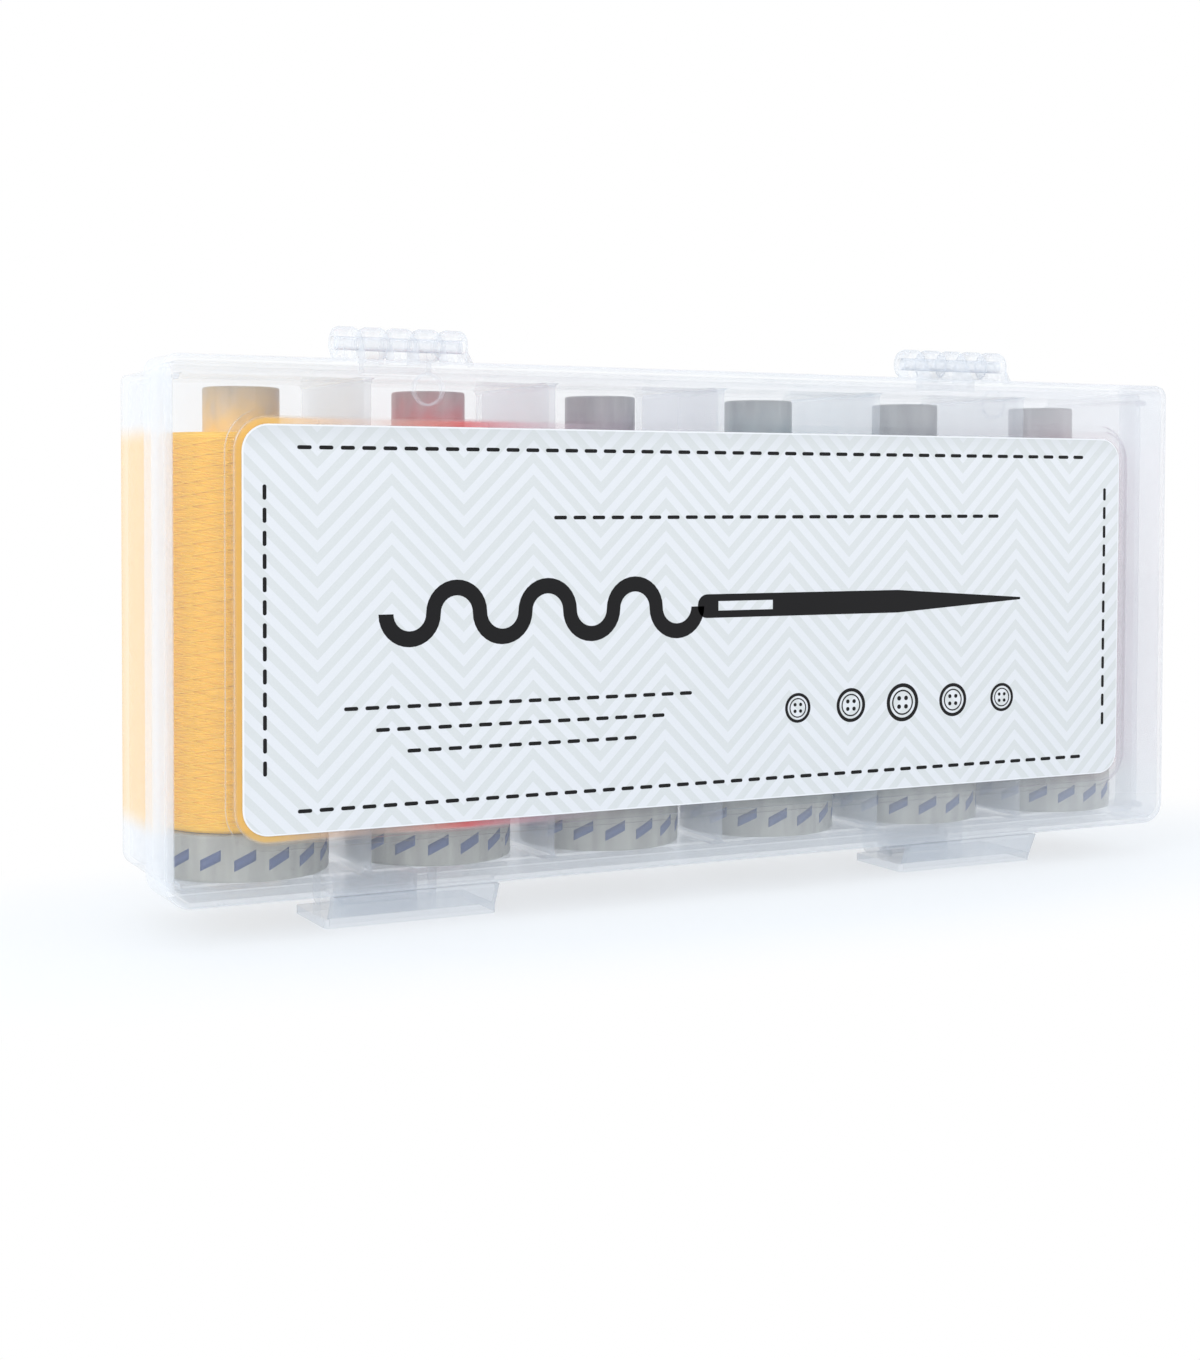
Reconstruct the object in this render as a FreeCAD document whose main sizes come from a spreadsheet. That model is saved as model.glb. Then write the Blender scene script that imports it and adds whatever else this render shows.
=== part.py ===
"""Thread box: a clear hinged box with two snap latches and six spools of sewing thread.

Millimetres. +X runs along the row of spools, +Y from the lid to the back of the tray and +Z up.
The box stands on its latches: the origin is on the floor, under the middle of the box.
"""

import FreeCAD, Part
import Sketcher
import math
import os
import re

# The driving sizes: each has a name, a value and a note.
SIZES = [
    ("spool_count", 6, "spools in the row, one to a cell"),
    ("foot_diameter", 27.4, "spool foot, outside"),
    ("foot_height", 7.4, "spool foot, from the cell's floor to the thread"),
    ("foot_shell", 1.2, "wall of the hollow foot"),
    ("foot_edge", 0.5, "rounding of the foot's rims"),
    ("tube_diameter", 12.1, "spool tube, outside"),
    ("tube_wall", 1.3, "wall of the spool tube"),
    ("tube_above", 7.3, "bare end of the tube above the thread"),
    ("tube_edge", 0.4, "bevel on the tube's upper rim"),
    ("fit_gap", 0.03, "room round the tube and the lid's pins"),
    ("thread_diameter", 26.0, "wound package, without its outer layer"),
    ("thread_height", 61.7, "wound package, along the tube"),
    ("thread_edge", 0.9, "rounding of the package's ends"),
    ("turn_count", 24, "turns in the outer layer"),
    ("strand_diameter", 0.4, "sewing thread, over its corners"),
    ("strand_sides", 6, "flat sides of the thread"),
    ("strand_gap", 0.05, "room between the outer layer and the package"),
    ("strand_margin", 1.6, "plain end of the package below and above the outer layer"),
    ("side_gap", 1.69, "room beside a foot in its cell"),
    ("end_cell_cut", 1.32, "width that each of the two end cells lacks"),
    ("end_gap", 1.4, "room above a tube in its cell"),
    ("depth_gap", 1.75, "room before and behind a foot"),
    ("cell_corner", 1.0, "rounding of the cells' corners"),
    ("divider_thick", 1.2, "wall between two cells"),
    ("divider_gap", 1.4, "room between the dividers and the lid's panel"),
    ("base_wall", 1.0, "tray's walls at the back"),
    ("base_floor", 1.2, "tray's back"),
    ("base_draft", 0.5, "taper of the tray's outside in degrees"),
    ("base_latch_corner", 2.4, "tray's corners on the latch side"),
    ("base_hinge_corner", 1.0, "tray's corners on the hinge side"),
    ("base_back_edge", 0.8, "rounding round the tray's back"),
    ("rim_setback", 6.3, "tray's rim behind the lid's front"),
    ("lid_gap", 0.4, "room between the tray's rim and the lid's skirt"),
    ("lid_wall", 1.1, "lid's walls"),
    ("lid_depth", 12.7, "lid's skirt, front to back"),
    ("lid_latch_corner", 4.0, "lid's corners on the latch side"),
    ("lid_hinge_corner", 2.2, "lid's corners on the hinge side"),
    ("lid_edge", 1.6, "rounding round the lid's front"),
    ("label_length", 170.2, "label card"),
    ("label_height", 62.7, "label card"),
    ("label_corner", 4.2, "label card's corners"),
    ("label_thick", 0.25, "label card"),
    ("label_border", 1.3, "room between the card and the sunk panel's edge"),
    ("recess_depth", 0.8, "sunk panel in the lid's front"),
    ("ring_diameter", 5.3, "moulded ring mark on the lid"),
    ("ring_width", 0.45, "line of the ring mark"),
    ("ring_depth", 0.2, "depth of the ring mark"),
    ("hinge_offset", 55.0, "middle of a hinge or latch from the middle of the box"),
    ("hinge_width", 22.8, "five knuckles of one hinge"),
    ("hinge_flare", 1.1, "spread of the hinge's flanks at the lid"),
    ("knuckle_diameter", 5.4, "hinge knuckles, outside"),
    ("knuckle_count", 5, "knuckles of one hinge, three on the lid and two on the tray"),
    ("knuckle_bevel", 0.9, "rounded-off end of a knuckle"),
    ("bevel_share", 0.3, "share of the bevel that its middle corner lies inside the knuckle's own corner"),
    ("knuckle_gap", 0.3, "room between two knuckles"),
    ("knuckle_lift", 0.45, "room between the knuckles and the lid's top"),
    ("hinge_web", 1.6, "lid's web in front of its knuckles"),
    ("arm_gap", 0.4, "room between the lid's skirt and the tray's hinge arms"),
    ("pin_diameter", 2.2, "hinge pin"),
    ("pin_clearance", 0.06, "running room of the pins and of the latches' clips"),
    ("pin_recess", 0.6, "pin's end inside its end knuckle"),
    ("latch_drop", 6.1, "lid's underside above the floor"),
    ("latch_width", 29.6, "latch plate, along the box"),
    ("latch_setback", 6.5, "latch plate's front edge behind the lid's front"),
    ("plate_thick", 1.4, "latch plate"),
    ("plate_corner", 1.2, "latch plate's front corners"),
    ("plate_gap", 0.4, "room between the latch plate and the tray's ears"),
    ("web_width", 28.4, "latch's upright web, along the box"),
    ("web_lean", 2.5, "forward lean of the web at its top"),
    ("web_thick", 1.4, "latch's upright web"),
    ("web_inset", 0.3, "web behind the plate's front edge"),
    ("hook_radius", 0.6, "half round bead on the web"),
    ("hook_gap", 0.2, "room between the hook and the lid's catch rib"),
    ("rib_height", 0.6, "lid's catch rib"),
    ("rib_thick", 1.4, "lid's catch rib"),
    ("bar_setback", 23.4, "latch bar behind the lid's front"),
    ("bar_diameter", 2.6, "round bar that a latch clips on"),
    ("clip_wall", 1.15, "wall of the latch's clip"),
    ("clip_width", 13.0, "latch's clip, along the bar"),
    ("clip_mouth", 2.1, "snap opening of the clip"),
    ("ear_thick", 3.5, "ears that carry the bar"),
    ("ear_wall", 0.7, "ear round the end of the bar"),
    ("ear_gap", 0.3, "room between a clip and the ears"),
    ("overrun", 2.0, "reach of a cut past the solid"),
]

# Sizes and places that follow from the driving sizes.
DERIVED = {
    "inner_depth": "foot_diameter + 2 * depth_gap",
    "box_depth": "lid_wall + recess_depth + inner_depth + base_floor",
    "front_y": "-box_depth / 2",
    "back_y": "box_depth / 2",
    "panel_y": "front_y + lid_wall + recess_depth",
    "divider_y": "panel_y + divider_gap",
    "rim_y": "front_y + rim_setback",
    "skirt_y": "front_y + lid_depth",
    "spool_y": "panel_y + depth_gap + foot_diameter / 2",
    "cell_width": "foot_diameter + 2 * side_gap",
    "cell_pitch": "cell_width + divider_thick",
    "end_cell_width": "cell_width - end_cell_cut",
    "inner_length": "spool_count * cell_pitch - divider_thick - 2 * end_cell_cut",
    "spool_height": "foot_height + thread_height + tube_above",
    "inner_height": "spool_height + end_gap",
    "draft_spread": "(box_depth - rim_setback) * tan(base_draft)",
    "skirt_inset": "lid_wall + lid_gap + draft_spread + base_wall",
    "lid_length": "inner_length + 2 * skirt_inset",
    "lid_height": "inner_height + 2 * skirt_inset",
    "lid_top": "latch_drop + lid_height",
    "lid_middle": "latch_drop + lid_height / 2",
    "cell_floor": "latch_drop + skirt_inset",
    "cell_top": "cell_floor + inner_height",
    "recess_length": "label_length + 2 * label_border",
    "recess_height": "label_height + 2 * label_border",
    "recess_corner": "label_corner + label_border",
    "ring_z": "(lid_middle + recess_height / 2 + lid_top) / 2",
    "knuckle_radius": "knuckle_diameter / 2",
    "hinge_z": "lid_top + knuckle_lift + knuckle_radius",
    "knuckle_length": "(hinge_width + knuckle_gap) / knuckle_count - knuckle_gap",
    "knuckle_slot": "knuckle_length + 2 * knuckle_gap",
    "bar_y": "front_y + bar_setback",
    "bar_radius": "bar_diameter / 2",
    "clip_bore": "bar_radius + pin_clearance",
    "clip_radius": "clip_bore + clip_wall",
    "ear_radius": "bar_radius + ear_wall",
    "bracket_slot": "clip_width + 2 * ear_gap",
    "plate_front": "front_y + latch_setback",
    "plate_back": "bar_y - ear_radius - plate_gap",
    "web_front": "plate_front + web_inset",
    "hook_back": "web_front - web_lean + web_thick",
    "hook_top": "latch_drop - rib_height - hook_gap",
    "rib_front": "hook_back + hook_radius + hook_gap",
    "tube_radius": "tube_diameter / 2",
    "foot_radius": "foot_diameter / 2",
    "thread_radius": "thread_diameter / 2",
}

# Places of the origin and the axes in a sketch's own numbering.
ORIGIN = (-1, 1)
ACROSS = -1
UPRIGHT = -2
LEAST = 1e-9
LEAST_EDGE = 1e-5

# Places along each arc of the strand where its room to the next turn is measured.
POINT_SHARES = (0.0, 0.25, 0.5, 0.75)

doc = FreeCAD.newDocument("thread_box")
sheet = doc.addObject("Spreadsheet::Sheet", "sizes")
ALIASES = {alias for alias, _, _ in SIZES}
pieces = []


def fill_sheet():
    """Writes the driving sizes into the sheet, a row each."""
    for row, (alias, number, note) in enumerate(SIZES, start=1):
        sheet.set(f"A{row}", note)
        sheet.set(f"B{row}", str(number))
        sheet.setAlias(f"B{row}", alias)
    doc.recompute()


def in_sheet(formula):
    """A formula of named sizes, written with the sheet's cells."""

    def cell(match):
        name = match[0]
        if name in DERIVED:
            return f"({in_sheet(DERIVED[name])})"
        return f"sizes.{name}" if name in ALIASES else name

    return re.sub(r"[a-z_]+", cell, formula)


def bind(thing, place, formula):
    """Ties one property to a formula of named sizes."""
    thing.setExpression(place, in_sheet(formula))


def size(formula):
    """The value of a formula now."""
    return float(sheet.evalExpression(in_sheet(formula)))


def new_body(label):
    """An empty solid of its own, listed for the checks and for export."""
    body = doc.addObject("PartDesign::Body", label)
    body.Label = label
    pieces.append(body)
    return body


class Outline:
    """A sketch on one of a body's planes, with every point tied to named sizes."""

    def __init__(self, body, name, plane, shift):
        self.sketch = body.newObject("Sketcher::SketchObject", name)
        ground = next(face for face in body.Origin.OriginFeatures if face.Role == plane)
        self.sketch.AttachmentSupport = [(ground, "")]
        self.sketch.MapMode = "FlatFace"
        for axis, formula in zip("xyz", shift):
            bind(self.sketch, f"AttachmentOffset.Base.{axis}", formula)

    def measure(self, kind, parts, formula):
        """Adds a dimension that follows a formula."""
        at = self.sketch.addConstraint(Sketcher.Constraint(kind, *parts, size(formula)))
        name = f"size_{at}"
        self.sketch.renameConstraint(at, name)
        bind(self.sketch, f"Constraints.{name}", formula)

    def tie(self, point, across, up):
        """Ties a point to its place across and up from the sketch's origin."""
        for kind, axis, formula in (("DistanceX", UPRIGHT, across), ("DistanceY", ACROSS, up)):
            distance = size(formula)
            if abs(distance) < LEAST:
                self.sketch.addConstraint(Sketcher.Constraint("PointOnObject", *point, axis))
            elif distance > 0:
                self.measure(kind, (*ORIGIN, *point), formula)
            else:
                self.measure(kind, (*point, *ORIGIN), f"-({formula})")

    def polygon(self, corners):
        """Straight sides through the corners, each corner a pair of formulas."""
        points = [FreeCAD.Vector(size(x), size(y), 0) for x, y in corners]
        sides = []
        for start, end in zip(points, points[1:] + points[:1]):
            sides.append(self.sketch.addGeometry(Part.LineSegment(start, end)))
        for side, following in zip(sides, sides[1:] + sides[:1]):
            self.sketch.addConstraint(Sketcher.Constraint("Coincident", side, 2, following, 1))
        for side, (x, y) in zip(sides, corners):
            self.tie((side, 1), x, y)

    def rectangle(self, left, right, low, high):
        """A plain rectangle between four places."""
        self.polygon([(left, low), (right, low), (right, high), (left, high)])

    def rounded(self, left, right, low, high, low_corner, high_corner):
        """A rectangle between four places whose corners are arcs."""
        x0, x1, y0, y1 = (size(formula) for formula in (left, right, low, high))
        a, b = size(low_corner), size(high_corner)
        quarter = math.pi / 2

        def line(xa, ya, xb, yb):
            ends = FreeCAD.Vector(xa, ya, 0), FreeCAD.Vector(xb, yb, 0)
            return self.sketch.addGeometry(Part.LineSegment(*ends))

        def arc(x, y, radius, start):
            ring = Part.Circle(FreeCAD.Vector(x, y, 0), FreeCAD.Vector(0, 0, 1), radius)
            bow = Part.ArcOfCircle(ring, start * quarter, (start + 1) * quarter)
            return self.sketch.addGeometry(bow)

        chain = [
            line(x0 + a, y0, x1 - a, y0),
            arc(x1 - a, y0 + a, a, -1),
            line(x1, y0 + a, x1, y1 - b),
            arc(x1 - b, y1 - b, b, 0),
            line(x1 - b, y1, x0 + b, y1),
            arc(x0 + b, y1 - b, b, 1),
            line(x0, y1 - b, x0, y0 + a),
            arc(x0 + a, y0 + a, a, 2),
        ]
        for part, following in zip(chain, chain[1:] + chain[:1]):
            self.sketch.addConstraint(Sketcher.Constraint("Tangent", part, 2, following, 1))
        corners = zip(chain[1::2], (low_corner, high_corner, high_corner, low_corner))
        for arc_at, corner in corners:
            self.measure("Radius", (arc_at,), corner)
        self.tie((chain[0], 1), f"{left} + {low_corner}", low)
        self.tie((chain[0], 2), f"{right} - ({low_corner})", low)
        self.tie((chain[4], 1), f"{right} - ({high_corner})", high)
        for side in (chain[2], chain[6]):
            self.sketch.addConstraint(Sketcher.Constraint("Vertical", side))

    def circle(self, across, up, radius):
        """A full circle."""
        middle = FreeCAD.Vector(size(across), size(up), 0)
        ring = self.sketch.addGeometry(Part.Circle(middle, FreeCAD.Vector(0, 0, 1), size(radius)))
        self.measure("Radius", (ring,), radius)
        self.tie((ring, 3), across, up)


def facing_front(body, name, y="0", x="0"):
    """A sketch seen from the front: across is X, up is Z. Its normal points to the front."""
    return Outline(body, name, "XZ_Plane", (x, "0", f"-({y})"))


def facing_side(body, name, x="0"):
    """A sketch seen from the side: across is Y, up is Z. Its normal is +X."""
    return Outline(body, name, "YZ_Plane", ("0", "0", x))


def facing_up(body, name):
    """A sketch seen from above: across is X, up is Y. Its normal is +Z."""
    return Outline(body, name, "XY_Plane", ("0", "0", "0"))


def pad(body, outline, length, both=False, back=False, draft=None):
    """Raises an outline to a solid: forwards, backwards or to both sides alike."""
    feature = body.newObject("PartDesign::Pad", f"{outline.sketch.Name}_pad")
    feature.Profile = outline.sketch
    feature.Midplane = both
    feature.Reversed = back
    bind(feature, "Length", length)
    if draft:
        bind(feature, "TaperAngle", draft)
    doc.recompute()
    return feature


def pocket(body, outline, depth, both=False, forward=False):
    """Cuts an outline out of the solid, and stops if the cut took nothing away."""
    before = body.Shape.Volume
    feature = body.newObject("PartDesign::Pocket", f"{outline.sketch.Name}_cut")
    feature.Profile = outline.sketch
    feature.Midplane = both
    feature.Reversed = forward
    bind(feature, "Length", depth)
    doc.recompute()
    if not feature.Shape.Volume < before:
        raise RuntimeError(f"{feature.Name} cuts nothing")
    return feature


def revolve(body, outline, axis="V_Axis"):
    """Turns an outline all round one of its own axes."""
    feature = body.newObject("PartDesign::Revolution", f"{outline.sketch.Name}_turned")
    feature.Profile = outline.sketch
    feature.ReferenceAxis = (outline.sketch, [axis])
    feature.Angle = 360
    doc.recompute()
    return feature


def soften(body, kind, radius, chosen):
    """Rounds or bevels the edges of the newest feature that a test picks."""
    base = body.Tip
    names = [f"Edge{at}" for at, edge in enumerate(base.Shape.Edges, start=1) if chosen(edge)]
    if not names:
        raise RuntimeError(f"{body.Label} has no edge to soften")
    feature = body.newObject(f"PartDesign::{kind}", f"{base.Name}_soft")
    feature.Base = (base, names)
    bind(feature, "Radius" if kind == "Fillet" else "Size", radius)
    doc.recompute()
    return feature


def lies_on(axis, formula):
    """A test for edges that lie flat on one plane across an axis."""
    place = size(formula)

    def chosen(edge):
        box = edge.BoundBox
        low, high = getattr(box, f"{axis}Min"), getattr(box, f"{axis}Max")
        return abs(low - place) < LEAST_EDGE and abs(high - place) < LEAST_EDGE

    return chosen


def mirror(body, features):
    """Repeats features on the other side of the box's middle plane."""
    twin = body.newObject("PartDesign::Mirrored", f"{body.Name}_twin")
    twin.Originals = features
    middle = next(face for face in body.Origin.OriginFeatures if face.Role == "YZ_Plane")
    twin.MirrorPlane = (middle, [""])
    body.Tip = twin
    doc.recompute()
    return twin


def knuckle_slots(body, name, places):
    """The gaps that let the other half's knuckles through, seen from the front."""
    slots = facing_front(body, name, x="hinge_offset")
    for place in places:
        middle = f"{place} * (knuckle_length + knuckle_gap)"
        left, right = f"{middle} - knuckle_slot / 2", f"{middle} + knuckle_slot / 2"
        slots.rectangle(left, right, "lid_top", "hinge_z + knuckle_radius + overrun")
    return pocket(body, slots, "box_depth + overrun", both=True)


def knuckles(body, name, places):
    """Round knuckles with blunted ends, turned about the hinge's axis."""
    outline = Outline(body, name, "XZ_Plane", ("hinge_offset", "hinge_z", "-(skirt_y)"))
    cut, inset = "knuckle_bevel", "(knuckle_bevel * bevel_share)"
    for place in places:
        middle = f"{place} * (knuckle_length + knuckle_gap)"
        left, right = f"{middle} - knuckle_length / 2", f"{middle} + knuckle_length / 2"
        outline.polygon(
            [
                (left, "0"),
                (right, "0"),
                (right, f"knuckle_radius - {cut}"),
                (f"{right} - {inset}", f"knuckle_radius - {inset}"),
                (f"{right} - {cut}", "knuckle_radius"),
                (f"{left} + {cut}", "knuckle_radius"),
                (f"{left} + {inset}", f"knuckle_radius - {inset}"),
                (left, f"knuckle_radius - {cut}"),
            ]
        )
    return revolve(body, outline, "H_Axis")


def hinge_bore(body, name, room):
    """The hole for the pin, through all knuckles of one hinge."""
    hole = facing_side(body, name, x="hinge_offset")
    hole.circle("skirt_y", "hinge_z", f"pin_diameter / 2 + {room}")
    return pocket(body, hole, "hinge_width + 2 * overrun", both=True)


def make_base_tray():
    """Deep back half: tapered walls, cells, dividers, hinge arms and latch brackets."""
    body = new_body("base_tray")
    outline = facing_front(body, "tray_outline", y="back_y")
    half_length, half_height = "(inner_length / 2 + base_wall)", "(inner_height / 2 + base_wall)"
    outline.rounded(
        f"-{half_length}",
        half_length,
        f"lid_middle - {half_height}",
        f"lid_middle + {half_height}",
        "base_latch_corner",
        "base_hinge_corner",
    )
    pad(body, outline, "back_y - divider_y", draft="base_draft")
    soften(body, "Fillet", "base_back_edge", lies_on("Y", "back_y"))

    upright = ("cell_floor", "cell_top", "cell_corner", "cell_corner")
    cell_depth = "back_y - base_floor - divider_y"
    ends = facing_front(body, "end_cells", y="divider_y")
    wall, inner = "inner_length / 2", "(inner_length / 2 - end_cell_width)"
    ends.rounded(f"(-{wall})", f"(-{inner})", *upright)
    ends.rounded(inner, f"({wall})", *upright)
    pocket(body, ends, cell_depth)
    cell = facing_front(body, "cell", y="divider_y")
    left = f"(divider_thick - {inner})"
    cell.rounded(left, f"{left} + cell_width", *upright)
    first = pocket(body, cell, cell_depth)
    row = body.newObject("PartDesign::LinearPattern", "cell_row")
    row.Originals = [first]
    row.Direction = (cell.sketch, ["H_Axis"])
    bind(row, "Length", "(spool_count - 3) * cell_pitch")
    bind(row, "Occurrences", "spool_count - 2")
    body.Tip = row
    doc.recompute()

    step = facing_front(body, "rim_step", y="divider_y")
    reach = "(lid_length / 2 + overrun)"
    step.rectangle(f"-{reach}", reach, "latch_drop - overrun", "lid_top + overrun")
    step.rectangle("-inner_length / 2", "inner_length / 2", "cell_floor", "cell_top")
    pocket(body, step, "rim_y - divider_y")

    features = [*tray_hinge(body), *latch_bracket(body)]
    mirror(body, features)


def tray_hinge(body):
    """Two knuckles on arms that rise from the tray's top wall behind the lid's skirt."""
    arm = facing_side(body, "tray_arm", x="hinge_offset")
    root = "cell_top + base_wall / 2"
    arm.rectangle("skirt_y + arm_gap", "skirt_y + knuckle_radius", root, "hinge_z")
    return [
        pad(body, arm, "3 * knuckle_length + 2 * knuckle_gap - 2 * knuckle_bevel", both=True),
        knuckles(body, "tray_knuckles", [-1, 1]),
        knuckle_slots(body, "tray_slot", [0]),
        hinge_bore(body, "tray_bore", "pin_clearance"),
    ]


def latch_bracket(body):
    """Two ears under the tray with a round bar between them for the latch."""
    width = "bracket_slot + 2 * ear_thick"
    root = "cell_floor - base_wall / 2"
    arm = facing_side(body, "ear_arm", x="hinge_offset")
    arm.rectangle("bar_y - ear_radius", "bar_y + ear_radius", "clip_radius", root)
    end = facing_side(body, "ear_end", x="hinge_offset")
    end.circle("bar_y", "clip_radius", "ear_radius")
    slot = facing_front(body, "ear_slot", x="hinge_offset")
    ceiling = "2 * clip_radius + ear_gap"
    slot.rectangle("-bracket_slot / 2", "bracket_slot / 2", "-overrun", ceiling)
    bar = facing_side(body, "latch_bar", x="hinge_offset")
    bar.circle("bar_y", "clip_radius", "bar_radius")
    return [
        pad(body, arm, width, both=True),
        pad(body, end, width, both=True),
        pocket(body, slot, "box_depth + overrun", both=True),
        pad(body, bar, "bracket_slot + ear_thick", both=True),
    ]


def make_lid():
    """Shallow front half: skirt, sunk label panel, ring marks, hinge knuckles and catch ribs."""
    body = new_body("lid")
    shell = facing_front(body, "lid_outline", y="skirt_y")
    edges = ("-lid_length / 2", "lid_length / 2", "latch_drop", "lid_top")
    shell.rounded(*edges, "lid_latch_corner", "lid_hinge_corner")
    pad(body, shell, "lid_depth")
    soften(body, "Fillet", "lid_edge", lies_on("Y", "front_y"))

    hollow = facing_front(body, "lid_hollow", y="skirt_y")
    hollow.rounded(
        "-lid_length / 2 + lid_wall",
        "lid_length / 2 - lid_wall",
        "latch_drop + lid_wall",
        "lid_top - lid_wall",
        "lid_latch_corner - lid_wall",
        "lid_hinge_corner - lid_wall",
    )
    pocket(body, hollow, "lid_depth - lid_wall", forward=True)

    panel = facing_front(body, "panel_back", y="front_y + lid_wall")
    panel_outline(panel, "lid_wall")
    pad(body, panel, "recess_depth", back=True)
    recess = facing_front(body, "panel_recess", y="front_y")
    panel_outline(recess, "0")
    pocket(body, recess, "recess_depth")

    mirror(body, [ring_mark(body), *lid_hinge(body), catch_rib(body)])


def panel_outline(outline, spread):
    """The sunk panel's outline, spread by a wall where it is the panel's back."""
    half_length, half_height = f"(recess_length / 2 + {spread})", f"(recess_height / 2 + {spread})"
    corner = f"recess_corner + {spread}"
    low, high = f"lid_middle - {half_height}", f"lid_middle + {half_height}"
    outline.rounded(f"-{half_length}", half_length, low, high, corner, corner)


def ring_mark(body):
    """A fine moulded ring on the lid's front, under the hinge."""
    ring = facing_front(body, "ring_mark", y="front_y")
    for radius in ("ring_diameter / 2", "ring_diameter / 2 - ring_width"):
        ring.circle("hinge_offset", "ring_z", radius)
    return pocket(body, ring, "ring_depth")


def lid_hinge(body):
    """Three knuckles with a web and sloped flanks on the lid's top."""
    root = "lid_top - lid_wall / 2"
    web = facing_side(body, "lid_web", x="hinge_offset")
    front = "skirt_y - knuckle_radius"
    foot, head = (f"{front} - hinge_web", root), (front, "hinge_z")
    web.polygon([foot, ("skirt_y", root), ("skirt_y", "hinge_z"), head])
    flank = facing_front(body, "lid_flank", y="skirt_y", x="hinge_offset")
    half, spread = "hinge_width / 2 - knuckle_bevel", "hinge_width / 2 + hinge_flare"
    flank.polygon([(f"-({spread})", root), (spread, root), (half, "hinge_z"), (f"-({half})", "hinge_z")])
    return [
        pad(body, web, "hinge_width - 2 * knuckle_bevel", both=True),
        pad(body, flank, "knuckle_radius"),
        knuckles(body, "lid_knuckles", [-2, 0, 2]),
        knuckle_slots(body, "lid_slots", [-1, 1]),
        hinge_bore(body, "lid_bore", "fit_gap"),
    ]


def catch_rib(body):
    """A low rib under the lid that the latch's hook snaps behind."""
    rib = facing_side(body, "catch_rib", x="hinge_offset")
    low, high = "latch_drop - rib_height", "latch_drop + lid_wall / 2"
    rib.rectangle("rib_front", "rib_front + rib_thick", low, high)
    return pad(body, rib, "web_width", both=True)


def make_label():
    """A printed card with round corners on the floor of the sunk panel."""
    body = new_body("label")
    card = facing_front(body, "card", y="front_y + recess_depth")
    half, low, high = "label_length / 2", "lid_middle - label_height / 2", "lid_middle + label_height / 2"
    card.rounded(f"-{half}", half, low, high, "label_corner", "label_corner")
    pad(body, card, "label_thick")


def make_hinge_pin(side, sign):
    """A straight pin, held by the lid's knuckles and free in the tray's."""
    pin = doc.addObject("Part::Cylinder", f"hinge_pin_{side}")
    pin.Label = f"hinge_pin_{side}"
    bind(pin, "Radius", "pin_diameter / 2")
    bind(pin, "Height", "hinge_width - 2 * pin_recess")
    pin.Placement.Rotation = FreeCAD.Rotation(FreeCAD.Vector(0, 1, 0), 90)
    bind(pin, "Placement.Base.x", f"{sign} * hinge_offset - hinge_width / 2 + pin_recess")
    bind(pin, "Placement.Base.y", "skirt_y")
    bind(pin, "Placement.Base.z", "hinge_z")
    pieces.append(pin)


def make_latch(side, sign):
    """A snap latch and foot: plate, hooked web in front and a clip on the tray's bar."""
    body = new_body(f"latch_{side}")
    bind(body, "Placement.Base.x", f"{sign} * hinge_offset")
    plate = facing_up(body, "plate")
    half = "latch_width / 2"
    plate.rounded(f"-{half}", half, "plate_front", "plate_back", "plate_corner", "plate_corner / 2")
    pad(body, plate, "plate_thick")

    web = facing_side(body, "web")
    foot, head = "web_front", "web_front - web_lean"
    web.polygon([(foot, "0"), (f"{foot} + web_thick", "0"), ("hook_back", "hook_top"), (head, "hook_top")])
    pad(body, web, "web_width", both=True)
    bead = facing_side(body, "hook_bead")
    bead.circle("hook_back", "hook_top - hook_radius", "hook_radius")
    pad(body, bead, "web_width", both=True)

    neck = facing_side(body, "neck")
    neck.rectangle("plate_back - plate_thick", "bar_y", "0", "plate_thick")
    pad(body, neck, "clip_width", both=True)
    ring = facing_side(body, "clip_ring")
    ring.circle("bar_y", "clip_radius", "clip_radius")
    pad(body, ring, "clip_width", both=True)
    bore = facing_side(body, "clip_bore")
    bore.circle("bar_y", "clip_radius", "clip_bore")
    pocket(body, bore, "clip_width + overrun", both=True)
    mouth = facing_side(body, "clip_mouth")
    left, right = "bar_y - clip_mouth / 2", "bar_y + clip_mouth / 2"
    mouth.rectangle(left, right, "clip_radius", "2 * clip_radius + overrun")
    pocket(body, mouth, "clip_width + overrun", both=True)


def spool_body(kind, place):
    """A body that stands in one cell, on the cell's floor."""
    body = new_body(f"{kind}_{place + 1}")
    seat(body, place)
    return body


def seat(piece, place):
    """Stands a piece of a spool on its cell's floor."""
    bind(piece, "Placement.Base.x", f"({place} - (spool_count - 1) / 2) * cell_pitch")
    bind(piece, "Placement.Base.y", "spool_y")
    bind(piece, "Placement.Base.z", "cell_floor")


def make_foot(place):
    """The spool's foot: an upturned cup with a collar for the tube."""
    body = spool_body("foot", place)
    cup = facing_front(body, "cup")
    bore, collar = "tube_radius + fit_gap", "tube_radius + fit_gap + foot_shell"
    roof, inside = "foot_height - foot_shell", "foot_radius - foot_shell"
    cup.polygon(
        [
            (bore, "0"),
            (collar, "0"),
            (collar, roof),
            (inside, roof),
            (inside, "0"),
            ("foot_radius", "0"),
            ("foot_radius", "foot_height"),
            (bore, "foot_height"),
        ]
    )
    revolve(body, cup)
    outer = size("foot_radius")
    soften(body, "Fillet", "foot_edge", lambda edge: is_ring(edge, outer))


def is_ring(edge, radius):
    """True for a round edge of one radius."""
    return isinstance(edge.Curve, Part.Circle) and abs(edge.Curve.Radius - radius) < LEAST_EDGE


def make_tube(place):
    """The hollow tube that the thread is wound on."""
    body = spool_body("tube", place)
    wall = facing_front(body, "wall")
    wall.rectangle("tube_radius - tube_wall", "tube_radius", "0", "spool_height")
    revolve(body, wall)
    soften(body, "Chamfer", "tube_edge", lies_on("Z", "spool_height"))


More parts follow.
